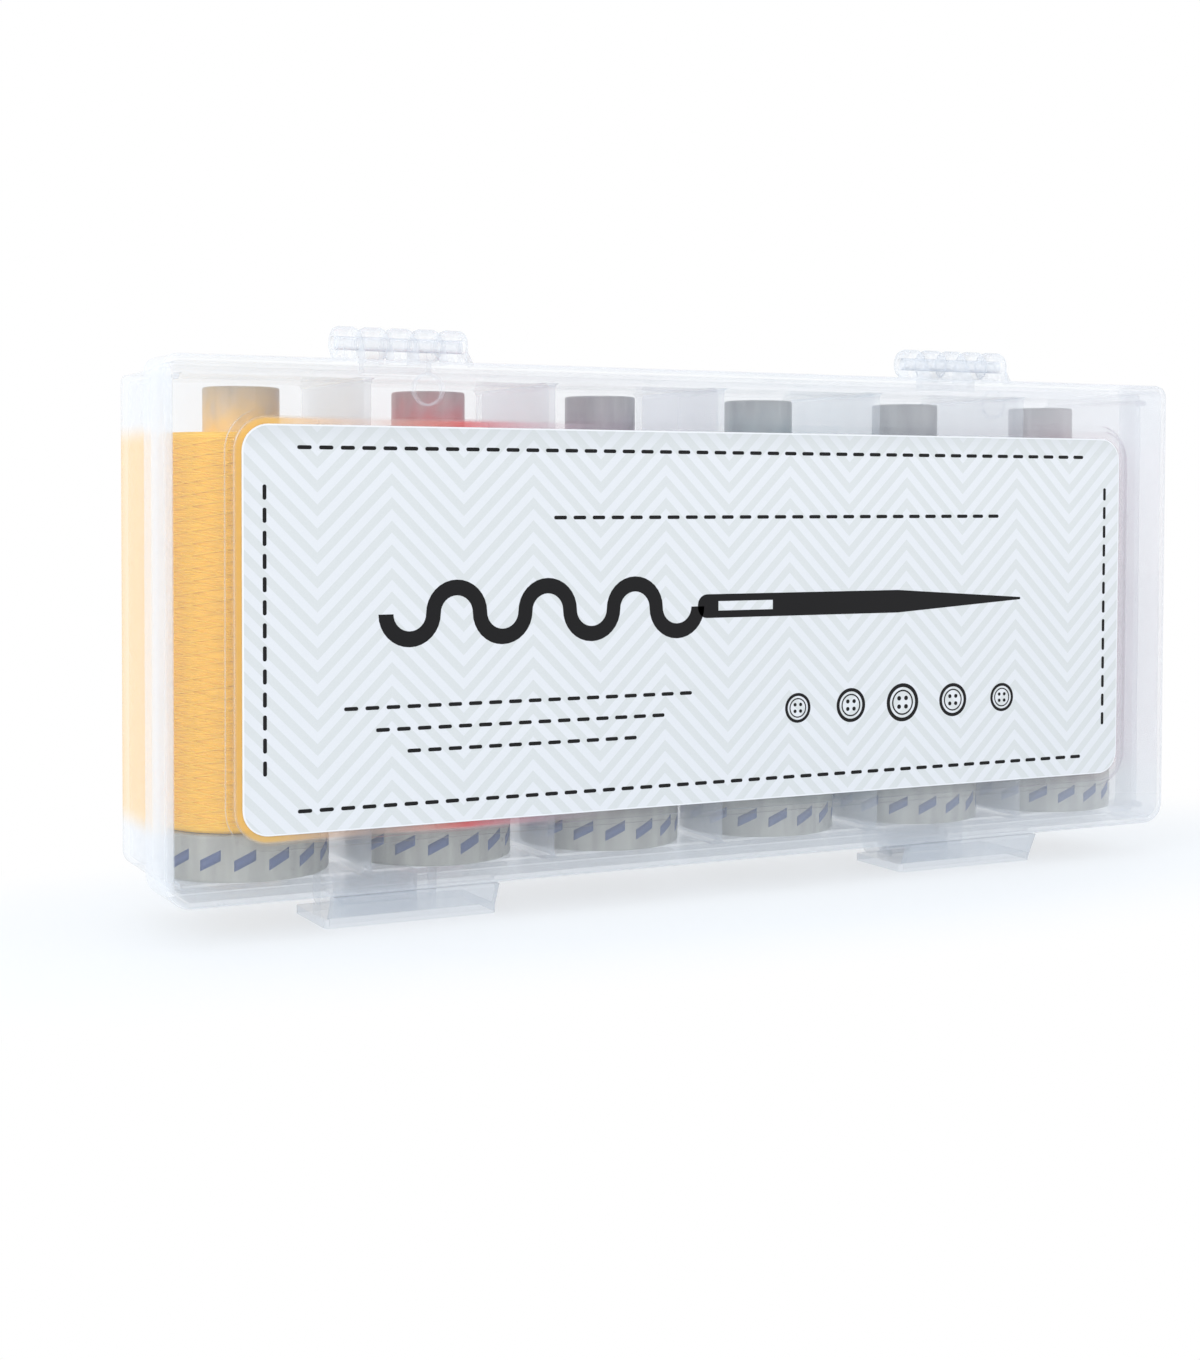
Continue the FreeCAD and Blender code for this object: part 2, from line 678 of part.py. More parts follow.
def make_thread(place):
    """The wound package between the foot and the tube's bare end."""
    body = spool_body("thread", place)
    package = facing_front(body, "package")
    top = "foot_height + thread_height"
    package.rectangle("tube_radius + fit_gap", "thread_radius", "foot_height", top)
    revolve(body, package)
    outer = size("thread_radius")
    soften(body, "Fillet", "thread_edge", lambda edge: is_ring(edge, outer))


def biarc(start, start_way, end, end_way):
    """Two tangent arcs from one point and direction to another, as arcs through three points."""
    chord = end - start
    ways = start_way + end_way
    spread = 2 * (1 - start_way.dot(end_way))
    along = chord.dot(ways)
    reach = (math.sqrt(along**2 + spread * chord.dot(chord)) - along) / spread
    meeting = (start + start_way * reach + end - end_way * reach) * 0.5
    return [
        bow(start, start + start_way * reach, meeting),
        bow(meeting, end - end_way * reach, end),
    ]


def bow(start, corner, end):
    """The arc that leaves start towards corner and arrives at end from it."""
    half = (end - start) * 0.5
    leg = corner - start
    cosine = half.dot(leg) / (half.Length * leg.Length)
    middle = start + half
    rise = half.Length * math.tan(math.acos(min(1.0, cosine)) / 2)
    return Part.Arc(start, middle + (corner - middle).normalize() * rise, end)


def strand_path():
    """The outer layer's line: an upright end, a helix of quarter turns and an upright end."""
    strand = size("strand_diameter")
    radius = size("thread_radius + strand_gap + strand_diameter / 2")
    floor, roof = size("foot_height"), size("foot_height + thread_height")
    low, high = floor + size("strand_margin"), roof - size("strand_margin")
    turns = round(size("turn_count"))
    slope = (high - low) / (turns * 2 * math.pi)
    lead = 2 * strand / radius
    up = FreeCAD.Vector(0, 0, 1)

    def on_helix(angle):
        place = FreeCAD.Vector(radius * math.cos(angle), radius * math.sin(angle), low + slope * angle)
        way = FreeCAD.Vector(-radius * math.sin(angle), radius * math.cos(angle), slope).normalize()
        return place, way

    def upright(angle, height):
        return FreeCAD.Vector(radius * math.cos(angle), radius * math.sin(angle), height)

    last = turns * 2 * math.pi
    quarters = [on_helix(at * math.pi / 2) for at in range(4 * turns + 1)]
    foot = upright(-lead, floor), upright(-lead, floor + strand)
    head = upright(last + lead, roof - strand), upright(last + lead, roof)
    line = [Part.LineSegment(*foot), *biarc(foot[1], up, *quarters[0])]
    for near, far in zip(quarters, quarters[1:]):
        line += biarc(*near, *far)
    line += biarc(*quarters[-1], head[0], up)
    line.append(Part.LineSegment(*head))
    return line


def least_gap(line, strand, apart):
    """The smallest room between two stretches of the strand, measured on points along it."""
    points = []
    for part in line:
        start, end = part.FirstParameter, part.LastParameter
        points += [part.value(start + (end - start) * share) for share in POINT_SHARES]
    gaps = [
        (points[at] - other).Length
        for at in range(len(points))
        for other in points[at + apart : at + 3 * apart]
    ]
    return min(gaps) - strand


def make_turns():
    """The outer layer of thread on every spool: one strand wound up the package in open turns."""
    line = strand_path()
    strand = size("strand_diameter")
    turn_points = 4 * 2 * len(POINT_SHARES)
    print(f"least gap between turns {least_gap(line, strand, turn_points // 2):.2f} mm")
    path = Part.Wire([part.toShape() for part in line])
    start = line[0].StartPoint
    sides = round(size("strand_sides"))
    sector = 2 * math.pi / sides
    corners = [
        start + FreeCAD.Vector(math.cos(at * sector), math.sin(at * sector), 0) * (strand / 2)
        for at in range(sides)
    ]
    section = Part.makePolygon(corners + corners[:1])
    pipe = Part.BRepOffsetAPI.MakePipeShell(path)
    pipe.add(section)
    pipe.build()
    pipe.makeSolid()
    wound = pipe.shape()
    expected = sides / 2 * (strand / 2) ** 2 * math.sin(sector) * path.Length
    print(f"strand volume {wound.Volume:.2f} of {expected:.2f} mm3")
    for place in range(round(size("spool_count"))):
        turns = doc.addObject("Part::Feature", f"turns_{place + 1}")
        turns.Label = f"turns_{place + 1}"
        turns.Shape = wound.copy()
        seat(turns, place)
        pieces.append(turns)


def check_document():
    """Stops if any object failed or any piece is not one or more sound solids."""
    doc.recompute()
    for thing in doc.Objects:
        if "Invalid" in thing.State or "Error" in thing.State:
            raise RuntimeError(f"{thing.Name} failed: {thing.State}")
    for piece in pieces:
        shape = piece.Shape
        if shape.isNull() or not shape.isValid() or len(shape.Solids) != 1:
            raise RuntimeError(f"{piece.Label} is not one sound solid")


def write_pieces():
    """Writes every piece to a file of its own name."""
    os.makedirs("parts", exist_ok=True)
    for piece in pieces:
        piece.Shape.exportStep(f"parts/{piece.Label}.step")


fill_sheet()
make_base_tray()
make_lid()
make_label()
for side, sign in (("left", -1), ("right", 1)):
    make_hinge_pin(side, sign)
    make_latch(side, sign)
for place in range(round(size("spool_count"))):
    make_foot(place)
    make_tube(place)
    make_thread(place)
make_turns()
check_document()
write_pieces()
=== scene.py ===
import math
from contextlib import contextmanager

import bmesh
import bpy
from bpy.props import FloatProperty, FloatVectorProperty, IntProperty, PointerProperty
from mathutils import Matrix, Vector


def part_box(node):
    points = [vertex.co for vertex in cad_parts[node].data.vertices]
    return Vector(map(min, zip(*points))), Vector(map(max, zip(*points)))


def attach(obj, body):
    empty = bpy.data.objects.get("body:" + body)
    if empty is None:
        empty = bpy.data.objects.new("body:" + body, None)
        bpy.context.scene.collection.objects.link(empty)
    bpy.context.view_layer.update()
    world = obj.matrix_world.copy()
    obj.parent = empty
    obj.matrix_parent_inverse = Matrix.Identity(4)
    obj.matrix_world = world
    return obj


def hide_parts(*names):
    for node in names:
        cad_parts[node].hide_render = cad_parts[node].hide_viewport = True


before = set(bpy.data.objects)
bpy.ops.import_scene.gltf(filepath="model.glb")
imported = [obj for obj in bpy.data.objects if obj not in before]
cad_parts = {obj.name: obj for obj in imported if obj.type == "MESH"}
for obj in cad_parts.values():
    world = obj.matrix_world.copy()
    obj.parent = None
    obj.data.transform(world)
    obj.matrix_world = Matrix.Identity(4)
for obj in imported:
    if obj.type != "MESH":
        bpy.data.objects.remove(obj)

bl_info = {
    "name": "Thread box",
    "version": (1, 0, 0),
    "blender": (4, 5, 0),
    "location": "View3D > Sidebar > Thread box",
    "description": "Finishes a clear box with six spools of sewing thread and sets its stage",
    "category": "Object",
}

MILLIMETRE = 0.001
FULL_TURN = 2 * math.pi
ROUND_STEPS = 96
STRAND_SIDES = 5
STRAND_STEPS = 40
PACKAGE_START = 0.31 * FULL_TURN
SOFTBOX_AIM = Vector((0, 0, 0.05))
SPOOLS = range(1, 1 + sum(name.startswith("foot_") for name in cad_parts))
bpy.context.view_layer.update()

# Places read from the frame
LABEL_LOW, LABEL_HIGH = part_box("label")
LABEL_SIZE = LABEL_HIGH - LABEL_LOW
LABEL_MIDDLE = (LABEL_LOW + LABEL_HIGH) / 2
PACKAGE_LOW, PACKAGE_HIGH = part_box("thread_1")
TUBE_LOW, TUBE_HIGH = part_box("tube_1")
FOOT_LOW, FOOT_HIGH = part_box("foot_1")
TRAY_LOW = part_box("base_tray")[0]
LID_BACK = sum(corner.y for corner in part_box("hinge_pin_right")) / 2
HINGE_OFFSET = sum(corner.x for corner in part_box("hinge_pin_right")) / 2
PACKAGE_RADIUS = (PACKAGE_HIGH.x - PACKAGE_LOW.x) / 2
TUBE_RADIUS = (TUBE_HIGH.x - TUBE_LOW.x) / 2
FOOT_RADIUS = (FOOT_HIGH.x - FOOT_LOW.x) / 2
SPOOL_PLACES = {number: sum(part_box(f"foot_{number}"), Vector()) / 2 for number in SPOOLS}


def length(name, default, description):
    """A size in metres that the sidebar shows with its unit."""
    return FloatProperty(
        name=name, description=description, default=default, min=0, precision=5,
        unit="LENGTH", subtype="DISTANCE",
    )


def share(name, default, description):
    """A share from 0 to 1."""
    return FloatProperty(name=name, description=description, default=default, min=0, max=1, subtype="FACTOR")


def count(name, default, description):
    """A whole number of like things."""
    return IntProperty(name=name, description=description, default=default, min=1)


def colour(name, default, description):
    """A linear colour that the sidebar shows as a swatch."""
    return FloatVectorProperty(
        name=name, description=description, default=default, size=3, min=0, max=1, subtype="COLOR"
    )


class WindingSettings(bpy.types.PropertyGroup):
    """Sizes and colours of the wound thread."""

    thickness: length(
        "Thread thickness", 0.34 * MILLIMETRE, "Diameter of the thread and rise of each fine turn"
    )
    shoulder: length("Shoulder", 0.9 * MILLIMETRE, "Rounding at both ends of the package")
    crossing_threads: count("Crossing threads", 7, "Threads that cross on top in each direction")
    crossing_turns: FloatProperty(
        name="Crossing turns", description="Turns of a crossing thread from end to end", default=4.5, min=0.5
    )
    colour_1: colour("Colour 1", (1.0, 0.56, 0.015), "Yellow-orange thread")
    colour_2: colour("Colour 2", (0.74, 0.02, 0.04), "Red thread")
    colour_3: colour("Colour 3", (0.28, 0.10, 0.28), "Purple thread")
    colour_4: colour("Colour 4", (0.05, 0.28, 0.38), "Teal thread")
    colour_5: colour("Colour 5", (0.06, 0.10, 0.18), "Navy thread")
    colour_6: colour("Colour 6", (0.52, 0.25, 0.35), "Pink thread")


class BoxSettings(bpy.types.PropertyGroup):
    """Looks of the clear box."""

    tint: colour("Tint", (0.83, 0.885, 0.96), "Tint of the clear plastic")
    # The shaded tint is painted shade: it darkens faces seen along themselves, and the latches all over.
    shaded: colour(
        "Shaded tint", (0.60, 0.66, 0.74), "Tint of the latches, and of faces seen along themselves"
    )
    clearness: share("Clearness", 0.2, "Share of the plastic's body that bends light and isn't milky")
    body: share("Body", 0.10, "Share of light that a face stops or bends where it is seen square on")
    edge_body: share("Edge body", 0.66, "The same share where a face is seen along itself")
    edge_shade: share("Edge shade", 0.55, "Share of the shaded tint where a face is seen along itself")
    latch_body: share("Latch body", 0.3, "Share of light that the thick latches stop or bend square on")
    haze: share("Haze", 0.12, "Roughness of the plastic")
    border: length("Border", 1.3 * MILLIMETRE, "Bare edge of the sunk panel round the label")
    border_corner: length("Border corner", 5.5 * MILLIMETRE, "Radius of the sunk panel's corners")
    # Glow is painted light: the threads' colours painted into the clear plastic round the sunk panel,
    # standing in for their light seen through it.
    glow: share("Glow", 0.65, "Share of a bright thread's colour that the panel's edge gathers")
    # Wall glow is painted light: the first thread's colour painted into the tray's end wall over a given
    # depth, standing in for its light seen through the wall.
    wall_glow: share("Wall glow", 0.36, "Share of the first thread's colour that the tray's end wall gathers")
    wall: length("Wall", 2.0 * MILLIMETRE, "Depth of the tray's end wall that gathers the colour")
    ring_body: share("Ring body", 0.3, "Share of light that the line of a ring mark stops")
    ring_lift: length("Ring lift", 5.8 * MILLIMETRE, "Height of the ring marks over the label")
    ring_radius: length("Ring radius", 2.42 * MILLIMETRE, "Radius of the line of a ring mark")
    ring_line: length("Ring line", 0.45 * MILLIMETRE, "Width of the line of a ring mark")


class SpoolSettings(bpy.types.PropertyGroup):
    """Sizes and colours of the moulded spools."""

    shell: length("Shell", 1.2 * MILLIMETRE, "Wall of the hollow foot")
    foot_edge: length("Foot edge", 0.5 * MILLIMETRE, "Rounding of the foot's rims")
    tube_wall: length("Tube wall", 1.3 * MILLIMETRE, "Wall of the tube")
    tube_edge: length("Tube edge", 0.4 * MILLIMETRE, "Rounding of the tube's upper rim")
    tube: colour("Tube", (0.40, 0.385, 0.38), "Taupe plastic of the tubes")
    foot: colour("Foot", (0.36, 0.36, 0.33), "Olive-grey plastic of the feet")
    # Painted glow: these shares paint a thread's colour onto its tube, standing in for the thread's light;
    # the tubes carry no such stain.
    warm_painted_glow: share("Warm painted glow", 0.9, "Share of the thread's colour on the tubes of the warm threads")
    cool_painted_glow: share("Cool painted glow", 0.25, "Share of the thread's colour on the other tubes")


class FootPrintSettings(bpy.types.PropertyGroup):
    """Sizes and colour of the twist motif round each foot."""

    band: length("Band", 3.4 * MILLIMETRE, "Height of the motif")
    stroke: length("Stroke", 1.7 * MILLIMETRE, "Height of a slanted stroke")
    strokes: count("Strokes", 16, "Slanted strokes round the foot")
    ink_depth: length("Ink", 0.03 * MILLIMETRE, "Depth of the print over and under the foot's face")
    place: share("Place", 0.47, "Middle of the motif as a share of the foot's height")
    ink: colour("Print colour", (0.06, 0.085, 0.19), "Dark blue of the motif")


class LabelSettings(bpy.types.PropertyGroup):
    """Sizes and colours of the label's plain sewing design."""

    corner: length("Corner", 4.2 * MILLIMETRE, "Radius of the card's corners")
    seat: length("Seat", 0.03 * MILLIMETRE, "Room between the card and the lid's panel behind it")
    rim: length("Rim", 0.15 * MILLIMETRE, "White cut edge round the print")
    stripe: length("Stripe", 1.3 * MILLIMETRE, "Width of a stripe across its run")
    column: length("Column", 12.2 * MILLIMETRE, "Width between two turns of the zigzag")
    ink_depth: length("Ink", 0.02 * MILLIMETRE, "Depth of the printed motifs over and under the card's face")
    needle: length("Needle", 68 * MILLIMETRE, "Length of the printed needle")
    needle_stroke: length("Needle stroke", 4.0 * MILLIMETRE, "Width of the printed needle")
    thread_stroke: length("Thread stroke", 2.5 * MILLIMETRE, "Width of the printed thread")
    bend: length("Bend", 4.0 * MILLIMETRE, "Radius of the printed thread's bends")
    bends: count("Bends", 7, "Bends of the printed thread")
    button: length("Button", 3.4 * MILLIMETRE, "Radius of the middle printed button")
    buttons: count("Buttons", 5, "Printed buttons in the row")
    stitch: length("Stitch", 2.3 * MILLIMETRE, "Length of a printed stitch")
    stitch_stroke: length("Stitch stroke", 0.6 * MILLIMETRE, "Width of a printed stitch")
    pace: length("Pace", 3.5 * MILLIMETRE, "Length of a printed stitch with the room after it")
    pale: colour("Pale stripe", (0.68, 0.715, 0.765), "Lavender-white stripe")
    grey: colour("Grey stripe", (0.605, 0.645, 0.668), "Grey-green stripe")
    # Painted shadow: the tone and share that darken the stripes towards the card's top, where the panel's
    # upper edge shades it.
    recess_shadow_tone: colour("Edge shade", (0.50, 0.54, 0.56), "Tone under the panel's upper edge")
    top_shadow_share: share("Top shade", 0.4, "Share of that tone at the upper edge")
    ink: colour("Ink colour", (0.008, 0.008, 0.009), "Black of the printed motifs")


class StageSettings(bpy.types.PropertyGroup):
    """The camera, the lamps and the pale surroundings."""

    camera_place: FloatVectorProperty(
        name="Camera place", description="Where the photograph was taken from", size=3, unit="LENGTH",
        subtype="TRANSLATION", default=(-180.32 * MILLIMETRE, -318.54 * MILLIMETRE, 68.86 * MILLIMETRE),
    )
    camera_yaw: FloatProperty(
        name="Yaw", description="Turn to the right of +Y", default=math.radians(27.28), unit="ROTATION"
    )
    camera_pitch: FloatProperty(
        name="Pitch", description="Tilt down", default=math.radians(1.87), unit="ROTATION"
    )
    camera_roll: FloatProperty(
        name="Roll", description="Turn about the view axis", default=math.radians(-0.17), unit="ROTATION"
    )
    lens: FloatProperty(
        name="Lens", description="Focal length in millimetres", default=54.95, subtype="DISTANCE_CAMERA"
    )
    shift: FloatProperty(
        name="Shift", description="Upward shift of the frame, as a share of it", default=-0.0882
    )
    ambient: FloatProperty(
        name="Ambient", description="Strength of the light from all round", default=0.82, min=0
    )
    top_lamp: FloatProperty(
        name="Top lamp", description="Power of the softbox above", default=1.2, unit="POWER"
    )
    side_lamp: FloatProperty(
        name="Side lamp", description="Power of the softbox at the right", default=1.4, unit="POWER"
    )
    left_lamp: FloatProperty(
        name="Left lamp", description="Power of the softbox at the left", default=4.0, unit="POWER"
    )
    # The floor's blue shows only within the shadow reach: it tints the real shadow, and paints a faint blue
    # shade on the lit floor round the box.
    floor: colour("Floor", (0.80, 0.90, 1.0), "Colour of the floor")
    shadow: share("Shadow", 0.36, "Share of the box's shadow that the floor keeps")
    shadow_reach: FloatVectorProperty(
        name="Shadow reach", description="Half sizes of the floor that keeps the shadow", size=2,
        unit="LENGTH", default=(0.10, 0.036),
    )


# Ways to model by operators

def add(name, operator, scale=(1, 1, 1), **options):
    """Adds a primitive as the only selected object, with its place in its mesh."""
    bpy.ops.object.select_all(action="DESELECT")
    operator(**options)
    made = bpy.context.object
    made.name = name
    made.data.name = name
    made.scale = scale
    bpy.ops.object.transform_apply(location=True, rotation=True, scale=True)
    return made


def only(obj):
    """Makes one object the selected and active one."""
    bpy.ops.object.select_all(action="DESELECT")
    obj.select_set(True)
    bpy.context.view_layer.objects.active = obj


@contextmanager
def editing(obj, kind="VERT"):
    """Edit mode on one object, with all of it selected at the start."""
    only(obj)
    bpy.ops.object.mode_set(mode="EDIT")
    bpy.ops.mesh.select_mode(type=kind)
    bpy.ops.mesh.select_all(action="SELECT")
    yield
    bpy.ops.object.mode_set(mode="OBJECT")


def choose(obj, kind, test):
    """Selects the vertices, edges or faces of an object in edit mode that pass a test."""
    bpy.ops.mesh.select_all(action="DESELECT")
    mesh = bmesh.from_edit_mesh(obj.data)
    for item in getattr(mesh, kind):
        if test(item):
            item.select_set(True)
    mesh.select_flush_mode()
    bmesh.update_edit_mesh(obj.data)


def finish_with(obj, kind, **settings):
    """Adds a modifier and applies it."""
    only(obj)
    modifier = obj.modifiers.new(kind.title(), kind)
    for name, value in settings.items():
        setattr(modifier, name, value)
    bpy.ops.object.modifier_apply(modifier=modifier.name)


def close_up(obj, gap=0.001 * MILLIMETRE):
    """Merges doubles and turns the faces outwards."""
    with editing(obj):
        bpy.ops.mesh.remove_doubles(threshold=gap)
        bpy.ops.mesh.normals_make_consistent(inside=False)


def join(name, objects):
    """Joins objects into one piece of that name."""
    only(objects[0])
    for obj in objects:
        obj.select_set(True)
    bpy.ops.object.join()
    made = bpy.context.object
    made.name = name
    made.data.name = name
    return made


def copied(obj, name, matrix):
    """A copy of a piece with its own mesh, moved by a matrix."""
    made = obj.copy()
    made.data = obj.data.copy()
    made.name = name
    made.data.name = name
    made.data.transform(matrix)
    bpy.context.scene.collection.objects.link(made)
    return made


def spool_axis(number):
    """The move from the Z axis to the axis of a spool."""
    return Matrix.Translation((SPOOL_PLACES[number].x, SPOOL_PLACES[number].y, 0))


def discard(*objects):
    """Removes patterns whose copies are in place."""
    for obj in objects:
        bpy.data.objects.remove(obj)


def paint(obj, *looks):
    """Gives a piece its materials, in the order of its slots."""
    obj.data.materials.clear()
    for look in looks:
        obj.data.materials.append(look)


def smooth(obj, degrees=40):
    """Shades a piece smooth, with its sharp edges kept."""
    only(obj)
    bpy.ops.object.shade_smooth_by_angle(angle=math.radians(degrees))


def section(name, inner, outer, low, high):
    """A rectangle on the XZ plane between two radii and two heights, to be spun."""
    return add(
        name, bpy.ops.mesh.primitive_plane_add, size=1, rotation=(math.pi / 2, 0, 0),
        location=((inner + outer) / 2, 0, (low + high) / 2), scale=(outer - inner, high - low, 1),
    )


def turn(obj, steps=ROUND_STEPS):
    """Spins the outline of a section about the Z axis to a closed solid."""
    with editing(obj):
        bpy.ops.mesh.delete(type="ONLY_FACE")
        bpy.ops.mesh.select_all(action="SELECT")
        bpy.ops.mesh.spin(steps=steps, angle=FULL_TURN, center=(0, 0, 0), axis=(0, 0, 1))
    close_up(obj)


class Look:
    """A node material: its shader, and short ways to add nodes before it."""

    def __init__(self, name, **constants):
        self.material = bpy.data.materials.new(name)
        self.material.use_nodes = True
        self.tree = self.material.node_tree
        self.shader = self.tree.nodes["Principled BSDF"]
        self.place = self.node("ShaderNodeTexCoord").outputs["Object"]
        for socket, value in constants.items():
            self.set(socket, value)

    def node(self, kind, inputs=None, **settings):
        made = self.tree.nodes.new(kind)
        for name, value in settings.items():
            setattr(made, name, value)
        for socket, value in (inputs or {}).items():
            self.feed(made.inputs[socket], value)
        return made

    def feed(self, socket, value):
        if isinstance(value, bpy.types.NodeSocket):
            self.tree.links.new(value, socket)
        else:
            socket.default_value = value

    def set(self, socket, value):
        """Sets a shader input, written with underscores, to a constant or a node's output."""
        if isinstance(value, (tuple, bpy.types.bpy_prop_array)) and len(value) == 3:
            value = (*value, 1)
        self.feed(self.shader.inputs[socket.replace("_", " ")], value)

    def math(self, operation, *values):
        made = self.node("ShaderNodeMath", operation=operation)
        for socket, value in zip(made.inputs, values):
            self.feed(socket, value)
        return made.outputs[0]

    def axes(self):
        """The place on the piece as three numbers."""
        return self.node("ShaderNodeSeparateXYZ", {"Vector": self.place}).outputs

    def noise(self, size, detail=3.0, stretch=(1, 1, 1)):
        """Noise whose features are about that size, drawn out along the axes by stretch."""
        scale = [1 / size / s for s in stretch]
        mapping = self.node("ShaderNodeMapping", {"Vector": self.place, "Scale": scale})
        made = self.node("ShaderNodeTexNoise", {"Vector": mapping.outputs[0], "Scale": 1.0, "Detail": detail})
        return made.outputs["Fac"]

    def remap(self, value, start, end, low, high, form="LINEAR"):
        """A value moved from one range to another and held inside it."""
        inputs = {"Value": value, "From Min": start, "From Max": end, "To Min": low, "To Max": high}
        return self.node("ShaderNodeMapRange", inputs, interpolation_type=form).outputs[0]

    def spread(self, noise, low, high):
        """The middle of a noise stretched to a range."""
        return self.remap(noise, 0.3, 0.7, low, high)

    def mix(self, share_of_second, first, second):
        made = self.node("ShaderNodeMix", data_type="RGBA")
        for index, value in ((0, share_of_second), (6, first), (7, second)):
            if not isinstance(value, (float, bpy.types.NodeSocket)):
                value = (*value[:3], 1)
            self.feed(made.inputs[index], value)
        return made.outputs[2]

    def ramp(self, value, stops):
        """A colour that changes along a value, from a list of places and colours."""
        made = self.node("ShaderNodeValToRGB", {"Fac": value})
        steps = made.color_ramp.elements
        while len(steps) < len(stops):
            steps.new(1.0)
        for step, (place, rgb) in zip(steps, stops):
            step.position = place
            step.color = (*rgb, 1)
        return made.outputs["Color"]

    def bump(self, height, depth, strength=0.5):
        inputs = {"Height": height, "Distance": depth, "Strength": strength}
        self.feed(self.shader.inputs["Normal"], self.node("ShaderNodeBump", inputs).outputs[0])


def shade(rgb, factor):
    """A colour made lighter or darker by a factor."""
    return tuple(min(1.0, part * factor) for part in rgb)


def blend(first, second, share_of_second):
    """A colour between two others."""
    return tuple(a + (b - a) * share_of_second for a, b in zip(first, second))


# Clear box

def clear_look(name, settings, tint, body):
    """Slightly milky plastic, clear where it is seen square on and whiter along its edges."""
    look = Look(name, Transmission_Weight=settings.clearness, IOR=1.46, Coat_Weight=0.6)
    facing = look.node("ShaderNodeLayerWeight", {"Blend": 0.5}).outputs["Facing"]
    look.tone = look.mix(look.remap(facing, 0.5, 1.0, 0.0, settings.edge_shade), tint, settings.shaded)
    look.set("Base_Color", look.tone)
    look.body = look.remap(facing, 0.1, 0.95, body, settings.edge_body)
    look.set("Alpha", look.body)
    cloud = look.noise(9 * MILLIMETRE)
    look.set("Roughness", look.spread(cloud, settings.haze * 0.6, settings.haze * 1.4))
    return look


def panel_distance(look, settings):
    """The distance outwards from the outline of the lid's sunk panel, below zero inside it."""
    place = look.axes()
    beyond = []
    for axis, middle, size in (("X", LABEL_MIDDLE.x, LABEL_SIZE.x), ("Z", LABEL_MIDDLE.z, LABEL_SIZE.z)):
        straight = size / 2 + settings.border - settings.border_corner
        offset = look.math("ABSOLUTE", look.math("SUBTRACT", place[axis], middle))
        beyond.append(look.math("SUBTRACT", offset, straight))
    outer = [look.math("MAXIMUM", part, 0.0) for part in beyond]
    corner = look.math("MULTIPLY_ADD", outer[0], outer[0], look.math("MULTIPLY", outer[1], outer[1]))
    inner = look.math("MINIMUM", look.math("MAXIMUM", *beyond), 0.0)
    return look.math("SUBTRACT", look.math("ADD", look.math("SQRT", corner), inner), settings.border_corner)


def lid_look(settings, winding):
    """The clear plastic with a painted glow: the threads' colours painted into the edge of the sunk panel,
    standing in for their light seen through the plastic.
    """
    look = clear_look("Clear lid", settings, settings.tint, settings.body)
    # Painted glow: a band round the sunk panel's edge takes the colour of the thread behind each part of it,
    # more for strongly coloured threads, and turns less clear there so the colour shows.
    distance = panel_distance(look, settings)
    soft = settings.border / 2
    rise = look.remap(distance, -settings.border - soft, -settings.border, 0.0, 1.0, "SMOOTHSTEP")
    fall = look.remap(distance, -soft, soft / 2, 1.0, 0.0, "SMOOTHSTEP")
    band = look.math("MULTIPLY", rise, fall)
    first, last = SPOOL_PLACES[SPOOLS[0]].x, SPOOL_PLACES[SPOOLS[-1]].x
    along = look.remap(look.axes()["X"], first, last, 0.0, 1.0)
    stops, shares = [], []
    for number in SPOOLS:
        place = (SPOOL_PLACES[number].x - first) / (last - first)
        thread = tuple(getattr(winding, f"colour_{number}"))
        stops.append((place, blend(thread, (1, 1, 1), 0.12)))
        shares.append((place, (saturation(thread),) * 3))
        shares.append((place + 0.5 / (len(SPOOLS) - 1), (0.4 * saturation(thread),) * 3))
    painted_thread_glow = look.math("MULTIPLY", band, look.ramp(along, shares[:-1]))
    look.set("Base_Color", look.mix(painted_thread_glow, look.tone, look.ramp(along, stops)))
    mark = look.math("MULTIPLY", ring_marks(look, settings), settings.ring_body)
    glow = look.math("MULTIPLY", painted_thread_glow, settings.glow)
    look.set("Alpha", look.math("MAXIMUM", look.math("MAXIMUM", look.body, mark), glow))
    return look


def saturation(rgb):
    """How far a colour's strongest part stands over its others, from 0 to 1."""
    low, middle, high = sorted(rgb)
    return min(1.0, high - middle + (high - low) / 2)


def ring_marks(look, settings):
    """One along the lines of the two ring marks under the hinges, and zero elsewhere."""
    place = look.axes()
    across = look.math("SUBTRACT", look.math("ABSOLUTE", place["X"]), HINGE_OFFSET)
    up = look.math("SUBTRACT", place["Z"], LABEL_HIGH.z + settings.ring_lift)
    out = look.math("SQRT", look.math("MULTIPLY_ADD", across, across, look.math("MULTIPLY", up, up)))
    beside = look.math("ABSOLUTE", look.math("SUBTRACT", out, settings.ring_radius))
    return look.remap(beside, settings.ring_line * 0.3, settings.ring_line * 0.7, 1.0, 0.0, "SMOOTHSTEP")


